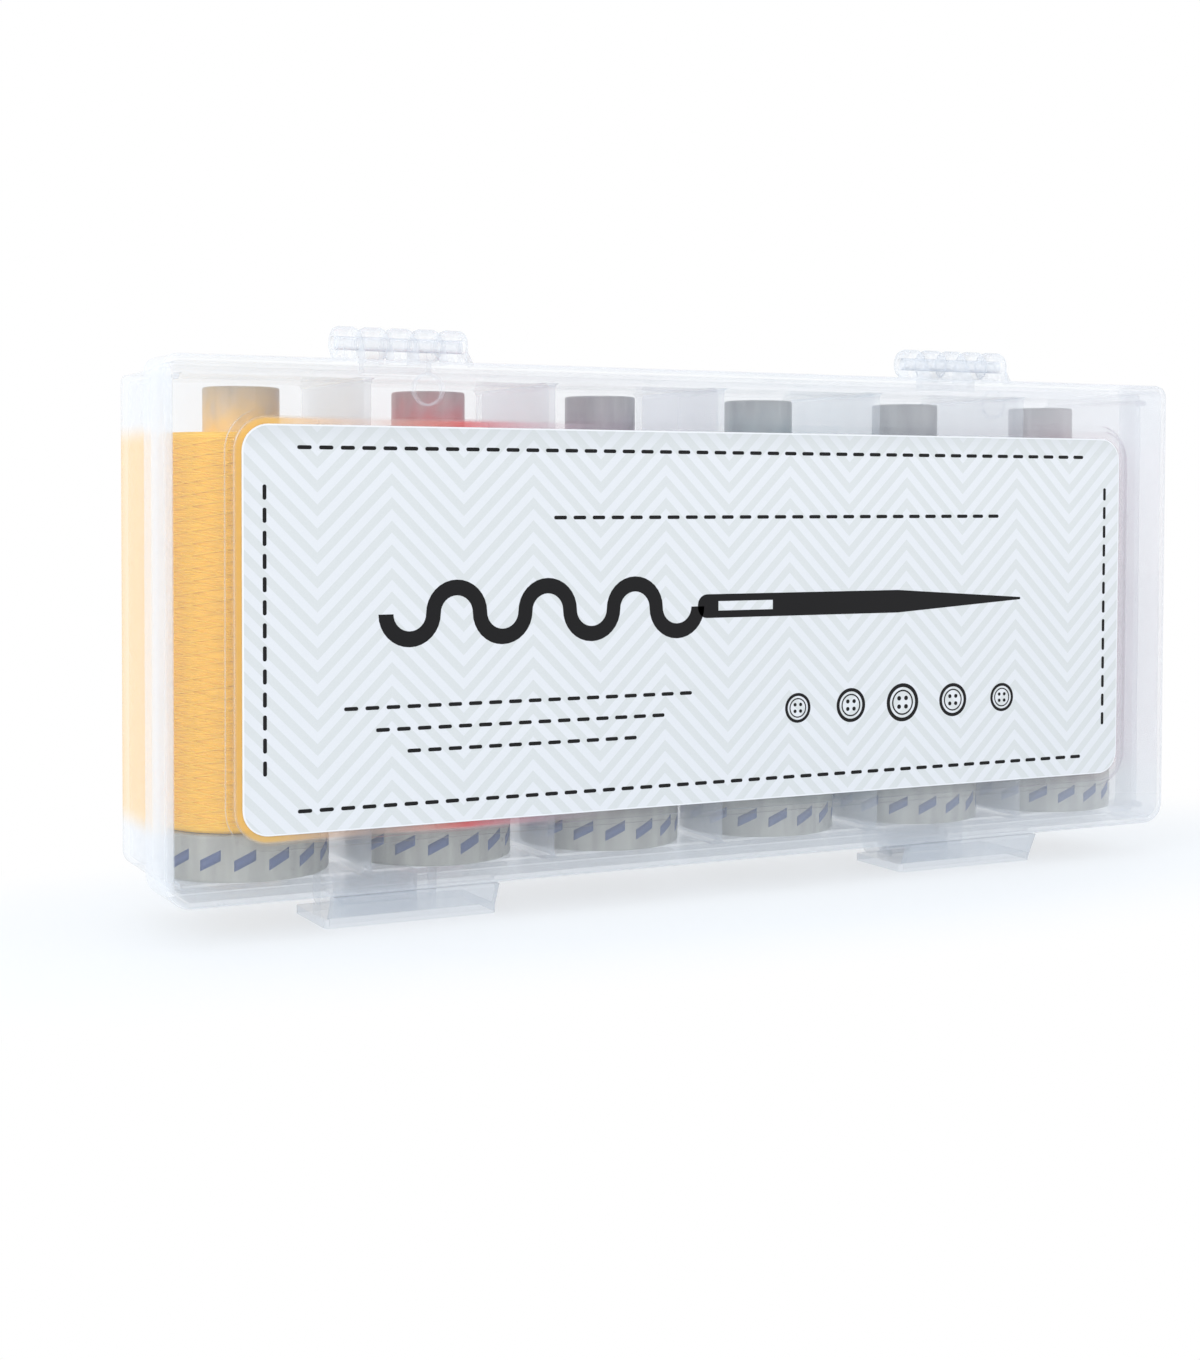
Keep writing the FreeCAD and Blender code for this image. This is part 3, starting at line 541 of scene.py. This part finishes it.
def tray_look(settings, winding):
    """The clear plastic with a painted glow: the first thread's colour painted into the end wall beside it,
    standing in for its light seen through the wall.
    """
    look = clear_look("Clear tray", settings, settings.tint, settings.body)
    place = look.axes()
    end = TRAY_LOW.x + settings.wall
    beside = look.remap(place["X"], end, TRAY_LOW.x, 0.0, 1.0, "SMOOTHSTEP")
    soft = settings.wall
    over = look.remap(place["Z"], PACKAGE_LOW.z - soft, PACKAGE_LOW.z + soft, 0.0, 1.0, "SMOOTHSTEP")
    under = look.remap(place["Z"], PACKAGE_HIGH.z - soft, PACKAGE_HIGH.z + soft, 1.0, 0.0, "SMOOTHSTEP")
    behind = look.remap(place["Y"], LID_BACK - soft, LID_BACK + soft, 0.0, 1.0, "SMOOTHSTEP")
    band = look.math("MULTIPLY", look.math("MULTIPLY", beside, behind), look.math("MULTIPLY", over, under))
    # Painted glow of the first thread in the end wall beside its package.
    look.set("Base_Color", look.mix(band, look.tone, winding.colour_1))
    look.set("Alpha", look.math("MAXIMUM", look.body, look.math("MULTIPLY", band, settings.wall_glow)))
    return look


class FinishBox(bpy.types.Operator):
    """Finish the lid, the tray, the latches and the pins in clear plastic"""

    bl_idname = "thread_box.finish_box"
    bl_label = "Finish box"

    def execute(self, context):
        settings = context.scene.thread_box_box
        winding = context.scene.thread_box_winding
        pin = clear_look("Clear pin", settings, settings.tint, settings.body).material
        # The latches take the shaded tint all over: painted shade, darker than the lid and tray.
        latch = clear_look("Clear latch", settings, settings.shaded, settings.latch_body).material
        for side in ("left", "right"):
            paint(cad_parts[f"hinge_pin_{side}"], pin)
            paint(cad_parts[f"latch_{side}"], latch)
        paint(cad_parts["base_tray"], tray_look(settings, winding).material)
        paint(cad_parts["lid"], lid_look(settings, winding).material)
        return {"FINISHED"}


# Spools

def spool_look(name, rgb, roughness, painted_glow=None, most=0.0):
    """Moulded plastic with faint flow streaks, and clouds of a painted glow in a thread's colour where one is
    given, standing in for the thread's light on the tube.
    """
    look = Look(name)
    streak = look.noise(2 * MILLIMETRE, stretch=(1, 1, 6))
    plain = look.mix(look.spread(streak, 0.0, 1.0), shade(rgb, 0.82), shade(rgb, 1.18))
    if painted_glow:
        # Painted glow of the thread, strongest next to the package and fading up the tube, in soft clouds.
        low = look.remap(look.axes()["Z"], PACKAGE_HIGH.z, TUBE_HIGH.z, most, most * 0.3)
        cloud = look.math("MULTIPLY", low, look.spread(look.noise(3.5 * MILLIMETRE), 0.5, 1.0))
        plain = look.mix(cloud, plain, painted_glow)
    look.set("Base_Color", plain)
    look.set("Roughness", look.spread(look.noise(1.2 * MILLIMETRE), roughness * 0.8, roughness * 1.2))
    look.bump(look.noise(0.5 * MILLIMETRE), 0.01 * MILLIMETRE)
    return look.material


def spool_tube(settings):
    """A hollow tube with a softened upper rim."""
    made = section("tube", TUBE_RADIUS - settings.tube_wall, TUBE_RADIUS, TUBE_LOW.z, TUBE_HIGH.z)
    with editing(made):
        choose(made, "verts", lambda v: v.co.z > TUBE_HIGH.z - MILLIMETRE)
        bpy.ops.mesh.bevel(offset=settings.tube_edge, segments=3, affect="VERTICES")
        bpy.ops.mesh.select_all(action="SELECT")
    turn(made)
    return made


def spool_foot(settings):
    """An upturned cup whose collar holds the tube, drawn down from its roof."""
    roof = FOOT_HIGH.z - settings.shell
    collar, inside = TUBE_RADIUS + settings.shell, FOOT_RADIUS - settings.shell
    made = section("foot", TUBE_RADIUS, FOOT_RADIUS, roof, FOOT_HIGH.z)
    for radius in (collar, inside):
        with editing(made):
            bpy.ops.mesh.bisect(plane_co=(radius, 0, 0), plane_no=(1, 0, 0))
    with editing(made, "EDGE"):
        middle = (collar + inside) / 2

        def is_wall(edge):
            ends = [v.co for v in edge.verts]
            under = all(end.z < roof + settings.shell / 2 for end in ends)
            centre = (ends[0].x + ends[1].x) / 2
            return under and abs(centre - middle) > (inside - collar) / 2

        choose(made, "edges", is_wall)
        bpy.ops.mesh.extrude_region_move(TRANSFORM_OT_translate={"value": (0, 0, FOOT_LOW.z - roof)})
    with editing(made, "FACE"):
        bpy.ops.mesh.dissolve_faces()
    with editing(made):
        choose(made, "verts", lambda v: v.co.x > FOOT_RADIUS - settings.shell / 2)
        bpy.ops.mesh.bevel(offset=settings.foot_edge, segments=4, affect="VERTICES")
    turn(made)
    return made


class MouldSpools(bpy.types.Operator):
    """Mould the tubes and the feet of the spools"""

    bl_idname = "thread_box.mould_spools"
    bl_label = "Mould spools"

    def execute(self, context):
        settings = context.scene.thread_box_spool
        winding = context.scene.thread_box_winding
        patterns = {"tube": spool_tube(settings), "foot": spool_foot(settings)}
        foot_plastic = spool_look("Foot plastic", tuple(settings.foot), 0.34)
        for number in SPOOLS:
            thread = tuple(getattr(winding, f"colour_{number}"))
            # Warm threads get a stronger painted glow of their colour on their tubes than the others.
            most = settings.warm_painted_glow if thread[0] > 2 * thread[2] else settings.cool_painted_glow
            tube_plastic = spool_look(f"Tube plastic {number}", tuple(settings.tube), 0.38, thread, most)
            looks = {"tube": tube_plastic, "foot": foot_plastic}
            place = spool_axis(number)
            for kind, pattern in patterns.items():
                made = copied(pattern, f"spool_{kind}_{number}", place)
                paint(made, looks[kind])
                smooth(made)
                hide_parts(f"{kind}_{number}")
                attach(made, f"spool_{number}")
        discard(*patterns.values())
        return {"FINISHED"}


# Print on the feet

def ink_look(name, rgb):
    """Dull printing ink, a little worn."""
    look = Look(name, Specular_IOR_Level=0.15)
    wear = look.noise(0.4 * MILLIMETRE)
    look.set("Base_Color", look.mix(look.spread(wear, 0.0, 0.5), rgb, shade(rgb, 1.6)))
    look.set("Roughness", look.spread(wear, 0.5, 0.65))
    return look.material


def slanted_stroke(settings):
    """A stroke that climbs round the foot, swept from an upright edge."""
    middle = FOOT_LOW.z + settings.place * (FOOT_HIGH.z - FOOT_LOW.z)
    low = middle - settings.band / 2
    width = settings.stroke
    made = section("stroke", FOOT_RADIUS - width, FOOT_RADIUS, low, low + settings.stroke)
    with editing(made):
        choose(made, "verts", lambda v: v.co.x < FOOT_RADIUS - width / 2)
        bpy.ops.mesh.delete(type="VERT")
    finish_with(
        made, "SCREW", axis="Z", angle=0.62 * FULL_TURN / settings.strokes,
        screw_offset=settings.band - settings.stroke, steps=8, render_steps=8,
    )
    with editing(made, "FACE"):
        choose(made, "faces", lambda f: f.normal.dot(f.calc_center_median() * Vector((1, 1, 0))) < 0)
        bpy.ops.mesh.flip_normals()
    finish_with(made, "SOLIDIFY", thickness=2 * settings.ink_depth, offset=0)
    return made


class PrintFeet(bpy.types.Operator):
    """Print a twist of slanted strokes round each foot"""

    bl_idname = "thread_box.print_feet"
    bl_label = "Print feet"

    def execute(self, context):
        settings = context.scene.thread_box_foot_print
        ink = ink_look("Foot print", tuple(settings.ink))
        stroke = slanted_stroke(settings)
        for number in SPOOLS:
            place = spool_axis(number)
            strokes = []
            for step in range(settings.strokes):
                around = Matrix.Rotation(step * FULL_TURN / settings.strokes, 4, "Z")
                strokes.append(copied(stroke, "stroke", place @ around))
            twist = join(f"foot_print_{number}", strokes)
            paint(twist, ink)
            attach(twist, f"spool_{number}")
        discard(stroke)
        return {"FINISHED"}


# Wound thread

def thread_look(name, rgb):
    """Soft thread whose tone changes a little along its run."""
    look = Look(name, Roughness=0.62, Sheen_Weight=0.25, Sheen_Roughness=0.4)
    run = look.noise(0.3 * MILLIMETRE, detail=2.0, stretch=(8, 8, 1))
    drift = look.noise(9 * MILLIMETRE)
    tone = look.mix(look.spread(run, 0.0, 1.0), shade(rgb, 0.86), shade(rgb, 1.08))
    look.set("Base_Color", look.mix(look.spread(drift, 0.0, 0.35), tone, shade(rgb, 1.04)))
    look.bump(look.noise(0.12 * MILLIMETRE, stretch=(3, 3, 1)), 0.03 * MILLIMETRE)
    return look.material


def package_core(settings):
    """A solid ring of thread with rounded shoulders, spun from its section."""
    made = section("package_core", TUBE_RADIUS, PACKAGE_RADIUS, PACKAGE_LOW.z, PACKAGE_HIGH.z)
    with editing(made):
        choose(made, "verts", lambda v: v.co.x > PACKAGE_RADIUS - MILLIMETRE)
        bpy.ops.mesh.bevel(offset=settings.shoulder, segments=4, affect="VERTICES")
        bpy.ops.mesh.select_all(action="SELECT")
    turn(made, steps=72)
    return made


def helix(name, settings, radius, low, high, turns, sides=STRAND_SIDES, steps=STRAND_STEPS):
    """One thread wound about the Z axis, with closed ends."""
    made = add(
        name, bpy.ops.mesh.primitive_circle_add, vertices=sides, radius=settings.thickness / 2,
        fill_type="NOTHING", location=(radius, 0, low), rotation=(math.pi / 2, 0, 0),
    )
    step_count = round(turns * steps)
    finish_with(
        made, "SCREW", axis="Z", angle=turns * FULL_TURN, screw_offset=high - low,
        steps=step_count, render_steps=step_count, use_smooth_shade=True,
    )
    with editing(made):
        bpy.ops.mesh.fill_holes(sides=sides)
        bpy.ops.mesh.normals_make_consistent(inside=False)
    return made


def pull_in_ends(obj, settings, radius, sides=STRAND_SIDES, steps=STRAND_STEPS):
    """Draws the end turns of a fine winding in over the shoulders."""
    per_turn = sides * steps
    total = len(obj.data.vertices)
    with editing(obj):
        for end_turn in range(2):
            into = settings.shoulder - (end_turn + 0.5) * settings.thickness
            inset = settings.shoulder - math.sqrt(settings.shoulder ** 2 - into ** 2)
            kept = 1 - inset / radius
            first = end_turn * per_turn
            ends = {*range(first, first + per_turn), *range(total - first - per_turn, total - first)}
            choose(obj, "verts", lambda v: v.index in ends)
            bpy.ops.transform.resize(value=(kept, kept, 1), center_override=(0, 0, 0))


def wound_package(settings):
    """A cross-wound package about the Z axis: a core, fine turns and crossing threads on top."""
    half = settings.thickness / 2
    fine_radius = PACKAGE_RADIUS - 0.2 * half
    low, high = PACKAGE_LOW.z + half, PACKAGE_HIGH.z - half
    fine = helix("fine_turns", settings, fine_radius, low, high, (high - low) / settings.thickness)
    pull_in_ends(fine, settings, fine_radius)
    top_radius = fine_radius + 0.6 * settings.thickness
    inset = settings.shoulder
    threads = [package_core(settings), fine]
    up = helix("crossing", settings, top_radius, low + inset, high - inset, settings.crossing_turns)
    down = copied(up, "crossing_down", Matrix.Scale(-1, 4, (0, 1, 0)))
    close_up(down)
    for start in range(settings.crossing_threads):
        around = Matrix.Rotation(start * FULL_TURN / settings.crossing_threads, 4, "Z")
        threads += [copied(up, "crossing", around), copied(down, "crossing", around)]
    discard(up, down)
    return join("package", threads)


class WindThread(bpy.types.Operator):
    """Wind the six packages of thread"""

    bl_idname = "thread_box.wind_thread"
    bl_label = "Wind thread"

    def execute(self, context):
        settings = context.scene.thread_box_winding
        pattern = wound_package(settings)
        for number in SPOOLS:
            place = spool_axis(number)
            around = Matrix.Rotation(number * PACKAGE_START, 4, "Z")
            package = copied(pattern, f"package_{number}", place @ around)
            paint(package, thread_look(f"Thread {number}", tuple(getattr(settings, f"colour_{number}"))))
            smooth(package, 60)
            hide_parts(f"thread_{number}", f"turns_{number}")
            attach(package, f"spool_{number}")
        discard(pattern)
        return {"FINISHED"}


# Label

def card_look():
    """White coated card with a fine tooth."""
    look = Look("Label card", Base_Color=(0.80, 0.83, 0.87))
    tooth = look.noise(0.3 * MILLIMETRE)
    look.set("Roughness", look.spread(tooth, 0.3, 0.42))
    look.bump(tooth, 0.01 * MILLIMETRE)
    return look.material


def stripe_look(settings):
    """Zigzag stripes in two pale tones, as on herringbone cloth, with a painted shadow along the top."""
    look = Look("Label stripes", Coat_Weight=0.25, Coat_Roughness=0.12)
    place = look.axes()
    across = look.math("DIVIDE", place["X"], 2 * settings.column)
    fold = look.math("ABSOLUTE", look.math("MULTIPLY_ADD", look.math("FRACT", across), 2.0, -1.0))
    rise = look.math("MULTIPLY_ADD", fold, settings.column, place["Z"])
    period = 2 * settings.stripe * math.sqrt(2)
    stripe = look.math("LESS_THAN", look.math("FRACT", look.math("DIVIDE", rise, period)), 0.5)
    grain = look.spread(look.noise(0.25 * MILLIMETRE), 0.0, 0.06)
    tone = look.mix(stripe, settings.pale, settings.grey)
    lit = look.mix(grain, tone, (1.0, 1.0, 1.0))
    # Painted shadow of the panel's upper edge: the stripes darken towards the card's top.
    top = look.remap(place["Z"], LABEL_HIGH.z - settings.corner, LABEL_HIGH.z, 0.0, settings.top_shadow_share)
    look.set("Base_Color", look.mix(top, lit, settings.recess_shadow_tone))
    look.set("Roughness", look.spread(look.noise(6 * MILLIMETRE), 0.28, 0.4))
    look.bump(look.noise(0.3 * MILLIMETRE), 0.006 * MILLIMETRE)
    return look.material


def label_card(settings):
    """A card with round corners, a softened front edge and a printed face inside a white rim."""
    made = add(
        "label_card", bpy.ops.mesh.primitive_plane_add, size=1, rotation=(math.pi / 2, 0, 0),
        location=(LABEL_MIDDLE.x, LABEL_HIGH.y - settings.seat, LABEL_MIDDLE.z),
        scale=(LABEL_SIZE.x, LABEL_SIZE.z, 1),
    )
    with editing(made):
        bpy.ops.mesh.bevel(offset=settings.corner, segments=10, affect="VERTICES")
    finish_with(made, "SOLIDIFY", thickness=LABEL_SIZE.y - settings.seat, offset=1)
    with editing(made, "EDGE"):
        front = LABEL_LOW.y + LABEL_SIZE.y / 4
        choose(made, "edges", lambda e: all(v.co.y < front for v in e.verts))
        bpy.ops.mesh.bevel(offset=LABEL_SIZE.y * 0.4, segments=2, affect="EDGES")
    with editing(made, "FACE"):
        choose(made, "faces", lambda f: f.normal.y < -0.99)
        bpy.ops.mesh.inset(thickness=settings.rim)
    with editing(made):
        bpy.ops.mesh.normals_make_consistent(inside=False)
    paint(made, card_look(), stripe_look(settings))
    largest = max((f for f in made.data.polygons if f.normal.y < 0), key=lambda f: f.area)
    largest.material_index = 1
    return made


class MakeLabel(bpy.types.Operator):
    """Make the striped card in the lid"""

    bl_idname = "thread_box.make_label"
    bl_label = "Make label"

    def execute(self, context):
        card = label_card(context.scene.thread_box_label)
        smooth(card)
        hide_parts("label")
        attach(card, "lid")
        return {"FINISHED"}


# Motifs printed on the label, placed from its middle

def flat(name, operator, x, z, scale=(1, 1, 1), **options):
    """A flat primitive on the face of the label."""
    place = (LABEL_MIDDLE.x + x, LABEL_LOW.y, LABEL_MIDDLE.z + z)
    return add(name, operator, scale=scale, rotation=(math.pi / 2, 0, 0), location=place, **options)


def stitch_run(settings, x, z, run, upright=False):
    """A run of running stitches, centred at a place."""
    stitches = round(run / settings.pace)
    start = -(stitches - 1) * settings.pace / 2
    size, step = (settings.stitch, settings.stitch_stroke, 1), (settings.pace, 0, 0)
    if upright:
        size, step = (settings.stitch_stroke, settings.stitch, 1), (0, 0, settings.pace)
        z += start
    else:
        x += start
    made = flat("stitches", bpy.ops.mesh.primitive_plane_add, x, z, scale=size, size=1)
    with editing(made):
        bpy.ops.mesh.bevel(offset=settings.stitch_stroke * 0.45, segments=3, affect="VERTICES")
    finish_with(
        made, "ARRAY", count=stitches, use_relative_offset=False, use_constant_offset=True,
        constant_offset_displace=step,
    )
    return made


def disc(x, z, radius, vertices):
    """A flat disc, filled."""
    circle = bpy.ops.mesh.primitive_circle_add
    return flat("disc", circle, x, z, vertices=vertices, radius=radius, fill_type="NGON")


def ring(x, z, radius, stroke):
    """A flat ring: a disc inset and opened."""
    made = disc(x, z, radius, 40)
    with editing(made, "FACE"):
        bpy.ops.mesh.inset(thickness=stroke)
        bpy.ops.mesh.delete(type="FACE")
    return made


def button(x, z, radius):
    """A sewing button: two rings and four thread holes."""
    parts = [ring(x, z, radius, radius * 0.2), ring(x, z, radius * 0.66, radius * 0.08)]
    step = radius * 0.22
    for side in (-step, step):
        for level in (-step, step):
            parts.append(disc(x + side, z + level, radius * 0.12, 16))
    return parts


def needle(settings, left, z):
    """A needle that points to the right, with a long eye at its left end."""
    size, stroke = settings.needle, settings.needle_stroke
    plane = bpy.ops.mesh.primitive_plane_add
    made = flat("needle", plane, left + size / 2, z, scale=(size, stroke, 1), size=1)
    start = LABEL_MIDDLE.x + left
    eye_from, eye_to, taper = start + stroke * 0.7, start + stroke * 4, start + size * 0.6
    for place in (eye_from, eye_to, taper):
        with editing(made):
            bpy.ops.mesh.bisect(plane_co=(place, 0, 0), plane_no=(1, 0, 0))
    with editing(made):
        choose(made, "verts", lambda v: v.co.x > start + size * 0.95)
        middle = (start + size, LABEL_LOW.y, LABEL_MIDDLE.z + z)
        bpy.ops.transform.resize(value=(1, 1, 0.1), center_override=middle)
        choose(made, "verts", lambda v: v.co.x < start + stroke * 0.3)
        bpy.ops.mesh.bevel(offset=stroke * 0.45, segments=5, affect="VERTICES")
    with editing(made, "FACE"):
        choose(made, "faces", lambda f: eye_from < f.calc_center_median().x < eye_to)
        bpy.ops.mesh.inset(thickness=stroke * 0.3)
        bpy.ops.mesh.delete(type="FACE")
    return made


def winding_line(settings, left, z):
    """A thread that winds to the right in half circles, spun bend by bend."""
    stroke, bend = settings.thread_stroke, settings.bend
    plane = bpy.ops.mesh.primitive_plane_add
    made = flat("winding_line", plane, left, z - stroke / 2, scale=(stroke, stroke, 1), size=1)
    middle = LABEL_MIDDLE.z + z
    with editing(made):
        choose(made, "verts", lambda v: v.co.z < middle - stroke / 2)
        bpy.ops.mesh.delete(type="VERT")
        bpy.ops.mesh.select_all(action="SELECT")
        for step in range(settings.bends):
            centre = (LABEL_MIDDLE.x + left + (2 * step + 1) * bend, LABEL_LOW.y, middle)
            angle = math.pi if step % 2 == 0 else -math.pi
            bpy.ops.mesh.spin(steps=16, angle=angle, center=centre, axis=(0, 1, 0))
    return made


def raise_ink(obj, depth):
    """Turns a flat print to the front and gives it a little thickness."""
    with editing(obj, "FACE"):
        bpy.ops.mesh.remove_doubles(threshold=0.001 * MILLIMETRE)
        choose(obj, "faces", lambda f: f.normal.y > 0)
        bpy.ops.mesh.flip_normals()
    finish_with(obj, "SOLIDIFY", thickness=2 * depth, offset=0)


def label_motifs(settings):
    """A threaded needle, a row of buttons and running stitches."""
    thread_run = 2 * settings.bend * settings.bends
    left = -(thread_run + settings.needle) / 2
    level = 2 * MILLIMETRE
    parts = [winding_line(settings, left, level), needle(settings, left + thread_run, level)]
    edge_x = LABEL_SIZE.x / 2 - settings.pace
    edge_z = LABEL_SIZE.z / 2 - settings.pace
    for side in (-1, 1):
        parts.append(stitch_run(settings, 0, side * edge_z, 2 * edge_x - 3 * settings.pace))
        parts.append(stitch_run(settings, side * edge_x, 0, 2 * edge_z - 3 * settings.pace, upright=True))
    first, room, button_level = 14 * MILLIMETRE, 11 * MILLIMETRE, -16 * MILLIMETRE
    for step in range(settings.buttons):
        size = settings.button * (1 - 0.12 * abs(step - (settings.buttons - 1) / 2))
        parts += button(first + step * room, button_level, size)
    for row, run in enumerate((63, 52.5, 42)):
        row_level = (-12.5 - 3.5 * row) * MILLIMETRE
        parts.append(stitch_run(settings, -38 * MILLIMETRE, row_level, run * MILLIMETRE))
    parts.append(stitch_run(settings, 12 * MILLIMETRE, 17 * MILLIMETRE, 91 * MILLIMETRE))
    return join("label_print", parts)


class PrintLabel(bpy.types.Operator):
    """Print plain sewing motifs on the label"""

    bl_idname = "thread_box.print_label"
    bl_label = "Print label"

    def execute(self, context):
        settings = context.scene.thread_box_label
        motifs = label_motifs(settings)
        raise_ink(motifs, settings.ink_depth)
        paint(motifs, ink_look("Label ink", tuple(settings.ink)))
        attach(motifs, "lid")
        return {"FINISHED"}


# Stage

def lay_floor(settings):
    """A wide pale floor that keeps the shadow near the box and fades to white away from it."""
    floor = add("floor", bpy.ops.mesh.primitive_plane_add, size=8)
    with editing(floor):
        bpy.ops.mesh.subdivide(number_cuts=3)
    look = Look("Floor", Base_Color=tuple(settings.floor), Roughness=0.55)
    reach = [1 / half for half in settings.shadow_reach]
    scaled = look.node("ShaderNodeVectorMath", {0: look.place, 1: (*reach, 0)}, operation="MULTIPLY")
    far = look.node("ShaderNodeVectorMath", {0: scaled.outputs[0]}, operation="LENGTH").outputs["Value"]
    # Near the box the blue floor colour shows: it tints the real shadow and paints a faint blue shade on the
    # lit floor there.
    fade = look.remap(far, 1.0, 2.0, 1 - settings.shadow, 1.0, "SMOOTHSTEP")
    white = look.node("ShaderNodeEmission", {"Color": (1, 1, 1, 1), "Strength": 1.0})
    mixed = look.node("ShaderNodeMixShader", {0: fade, 1: look.shader.outputs[0], 2: white.outputs[0]})
    look.tree.links.new(mixed.outputs[0], look.tree.nodes["Material Output"].inputs["Surface"])
    paint(floor, look.material)


def light_room(settings):
    """Surroundings that look white and light the box softly, and three softboxes."""
    world = bpy.data.worlds.new("Studio")
    bpy.context.scene.world = world
    world.use_nodes = True
    tree = world.node_tree
    room = tree.nodes["Background"]
    room.inputs["Color"].default_value = (0.95, 0.975, 1, 1)
    room.inputs["Strength"].default_value = settings.ambient
    white = tree.nodes.new("ShaderNodeBackground")
    white.inputs["Color"].default_value = (1, 1, 1, 1)
    path = tree.nodes.new("ShaderNodeLightPath")
    seen = path.outputs["Is Camera Ray"]
    for kind in ("Is Glossy Ray", "Is Transmission Ray"):
        either = tree.nodes.new("ShaderNodeMath")
        either.operation = "MAXIMUM"
        tree.links.new(seen, either.inputs[0])
        tree.links.new(path.outputs[kind], either.inputs[1])
        seen = either.outputs[0]
    mixed = tree.nodes.new("ShaderNodeMixShader")
    tree.links.new(seen, mixed.inputs[0])
    tree.links.new(room.outputs[0], mixed.inputs[1])
    tree.links.new(white.outputs[0], mixed.inputs[2])
    tree.links.new(mixed.outputs[0], tree.nodes["World Output"].inputs["Surface"])
    lamp("top_softbox", (-0.15, -0.1, 0.8), 0.9, settings.top_lamp)
    lamp("right_softbox", (0.75, -0.75, 0.35), 0.7, settings.side_lamp)
    lamp("left_softbox", (-0.75, -0.4, 0.3), 0.7, settings.left_lamp)


def lamp(name, place, size, power):
    """A square softbox that looks at the box."""
    bpy.ops.object.select_all(action="DESELECT")
    bpy.ops.object.light_add(type="AREA", location=place)
    made = bpy.context.object
    made.name = name
    made.data.size = size
    made.data.energy = power
    made.rotation_mode = "QUATERNION"
    made.rotation_quaternion = (SOFTBOX_AIM - Vector(place)).to_track_quat("-Z", "Y")


def place_camera(settings):
    """The camera where the photograph was taken, turned by yaw, pitch and roll."""
    yaw, pitch, roll = settings.camera_yaw, settings.camera_pitch, settings.camera_roll
    ahead = Vector((math.sin(yaw) * math.cos(pitch), math.cos(yaw) * math.cos(pitch), -math.sin(pitch)))
    right = Vector((math.cos(yaw), -math.sin(yaw), 0))
    down = ahead.cross(right)
    rolled_right = math.cos(roll) * right + math.sin(roll) * down
    rolled_down = math.cos(roll) * down - math.sin(roll) * right
    bpy.ops.object.select_all(action="DESELECT")
    bpy.ops.object.camera_add(location=settings.camera_place)
    camera = bpy.context.object
    camera.name = "photo_camera"
    turned = Matrix((rolled_right, -rolled_down, -ahead)).transposed()
    camera.rotation_mode = "QUATERNION"
    camera.rotation_quaternion = turned.to_quaternion()
    camera.data.lens = settings.lens
    camera.data.shift_y = settings.shift
    camera.data.clip_start = 0.01
    bpy.context.scene.camera = camera
    bpy.context.scene.view_settings.view_transform = "Standard"
    bpy.context.scene.cycles.transparent_max_bounces = 32


class SetStage(bpy.types.Operator):
    """Set the floor, the light and the camera"""

    bl_idname = "thread_box.set_stage"
    bl_label = "Set stage"

    def execute(self, context):
        settings = context.scene.thread_box_stage
        lay_floor(settings)
        light_room(settings)
        place_camera(settings)
        return {"FINISHED"}


class ThreadBoxPanel(bpy.types.Panel):
    """Lists the steps that finish the thread box"""

    bl_idname = "VIEW3D_PT_thread_box"
    bl_label = "Thread box"
    bl_space_type = "VIEW_3D"
    bl_region_type = "UI"
    bl_category = "Thread box"

    def draw(self, context):
        for step in STEPS:
            self.layout.operator(step.bl_idname)


SETTINGS = {
    "thread_box_winding": WindingSettings,
    "thread_box_box": BoxSettings,
    "thread_box_spool": SpoolSettings,
    "thread_box_foot_print": FootPrintSettings,
    "thread_box_label": LabelSettings,
    "thread_box_stage": StageSettings,
}
STEPS = (FinishBox, MouldSpools, PrintFeet, WindThread, MakeLabel, PrintLabel, SetStage)
CLASSES = (*SETTINGS.values(), *STEPS, ThreadBoxPanel)


def register():
    for made in CLASSES:
        bpy.utils.register_class(made)
    for name, group in SETTINGS.items():
        setattr(bpy.types.Scene, name, PointerProperty(type=group))


def unregister():
    for name in SETTINGS:
        delattr(bpy.types.Scene, name)
    for made in reversed(CLASSES):
        bpy.utils.unregister_class(made)


def main():
    register()
    bpy.ops.thread_box.finish_box()
    bpy.ops.thread_box.mould_spools()
    bpy.ops.thread_box.print_feet()
    bpy.ops.thread_box.wind_thread()
    bpy.ops.thread_box.make_label()
    bpy.ops.thread_box.print_label()
    bpy.ops.thread_box.set_stage()


if __name__ == "__main__":
    main()
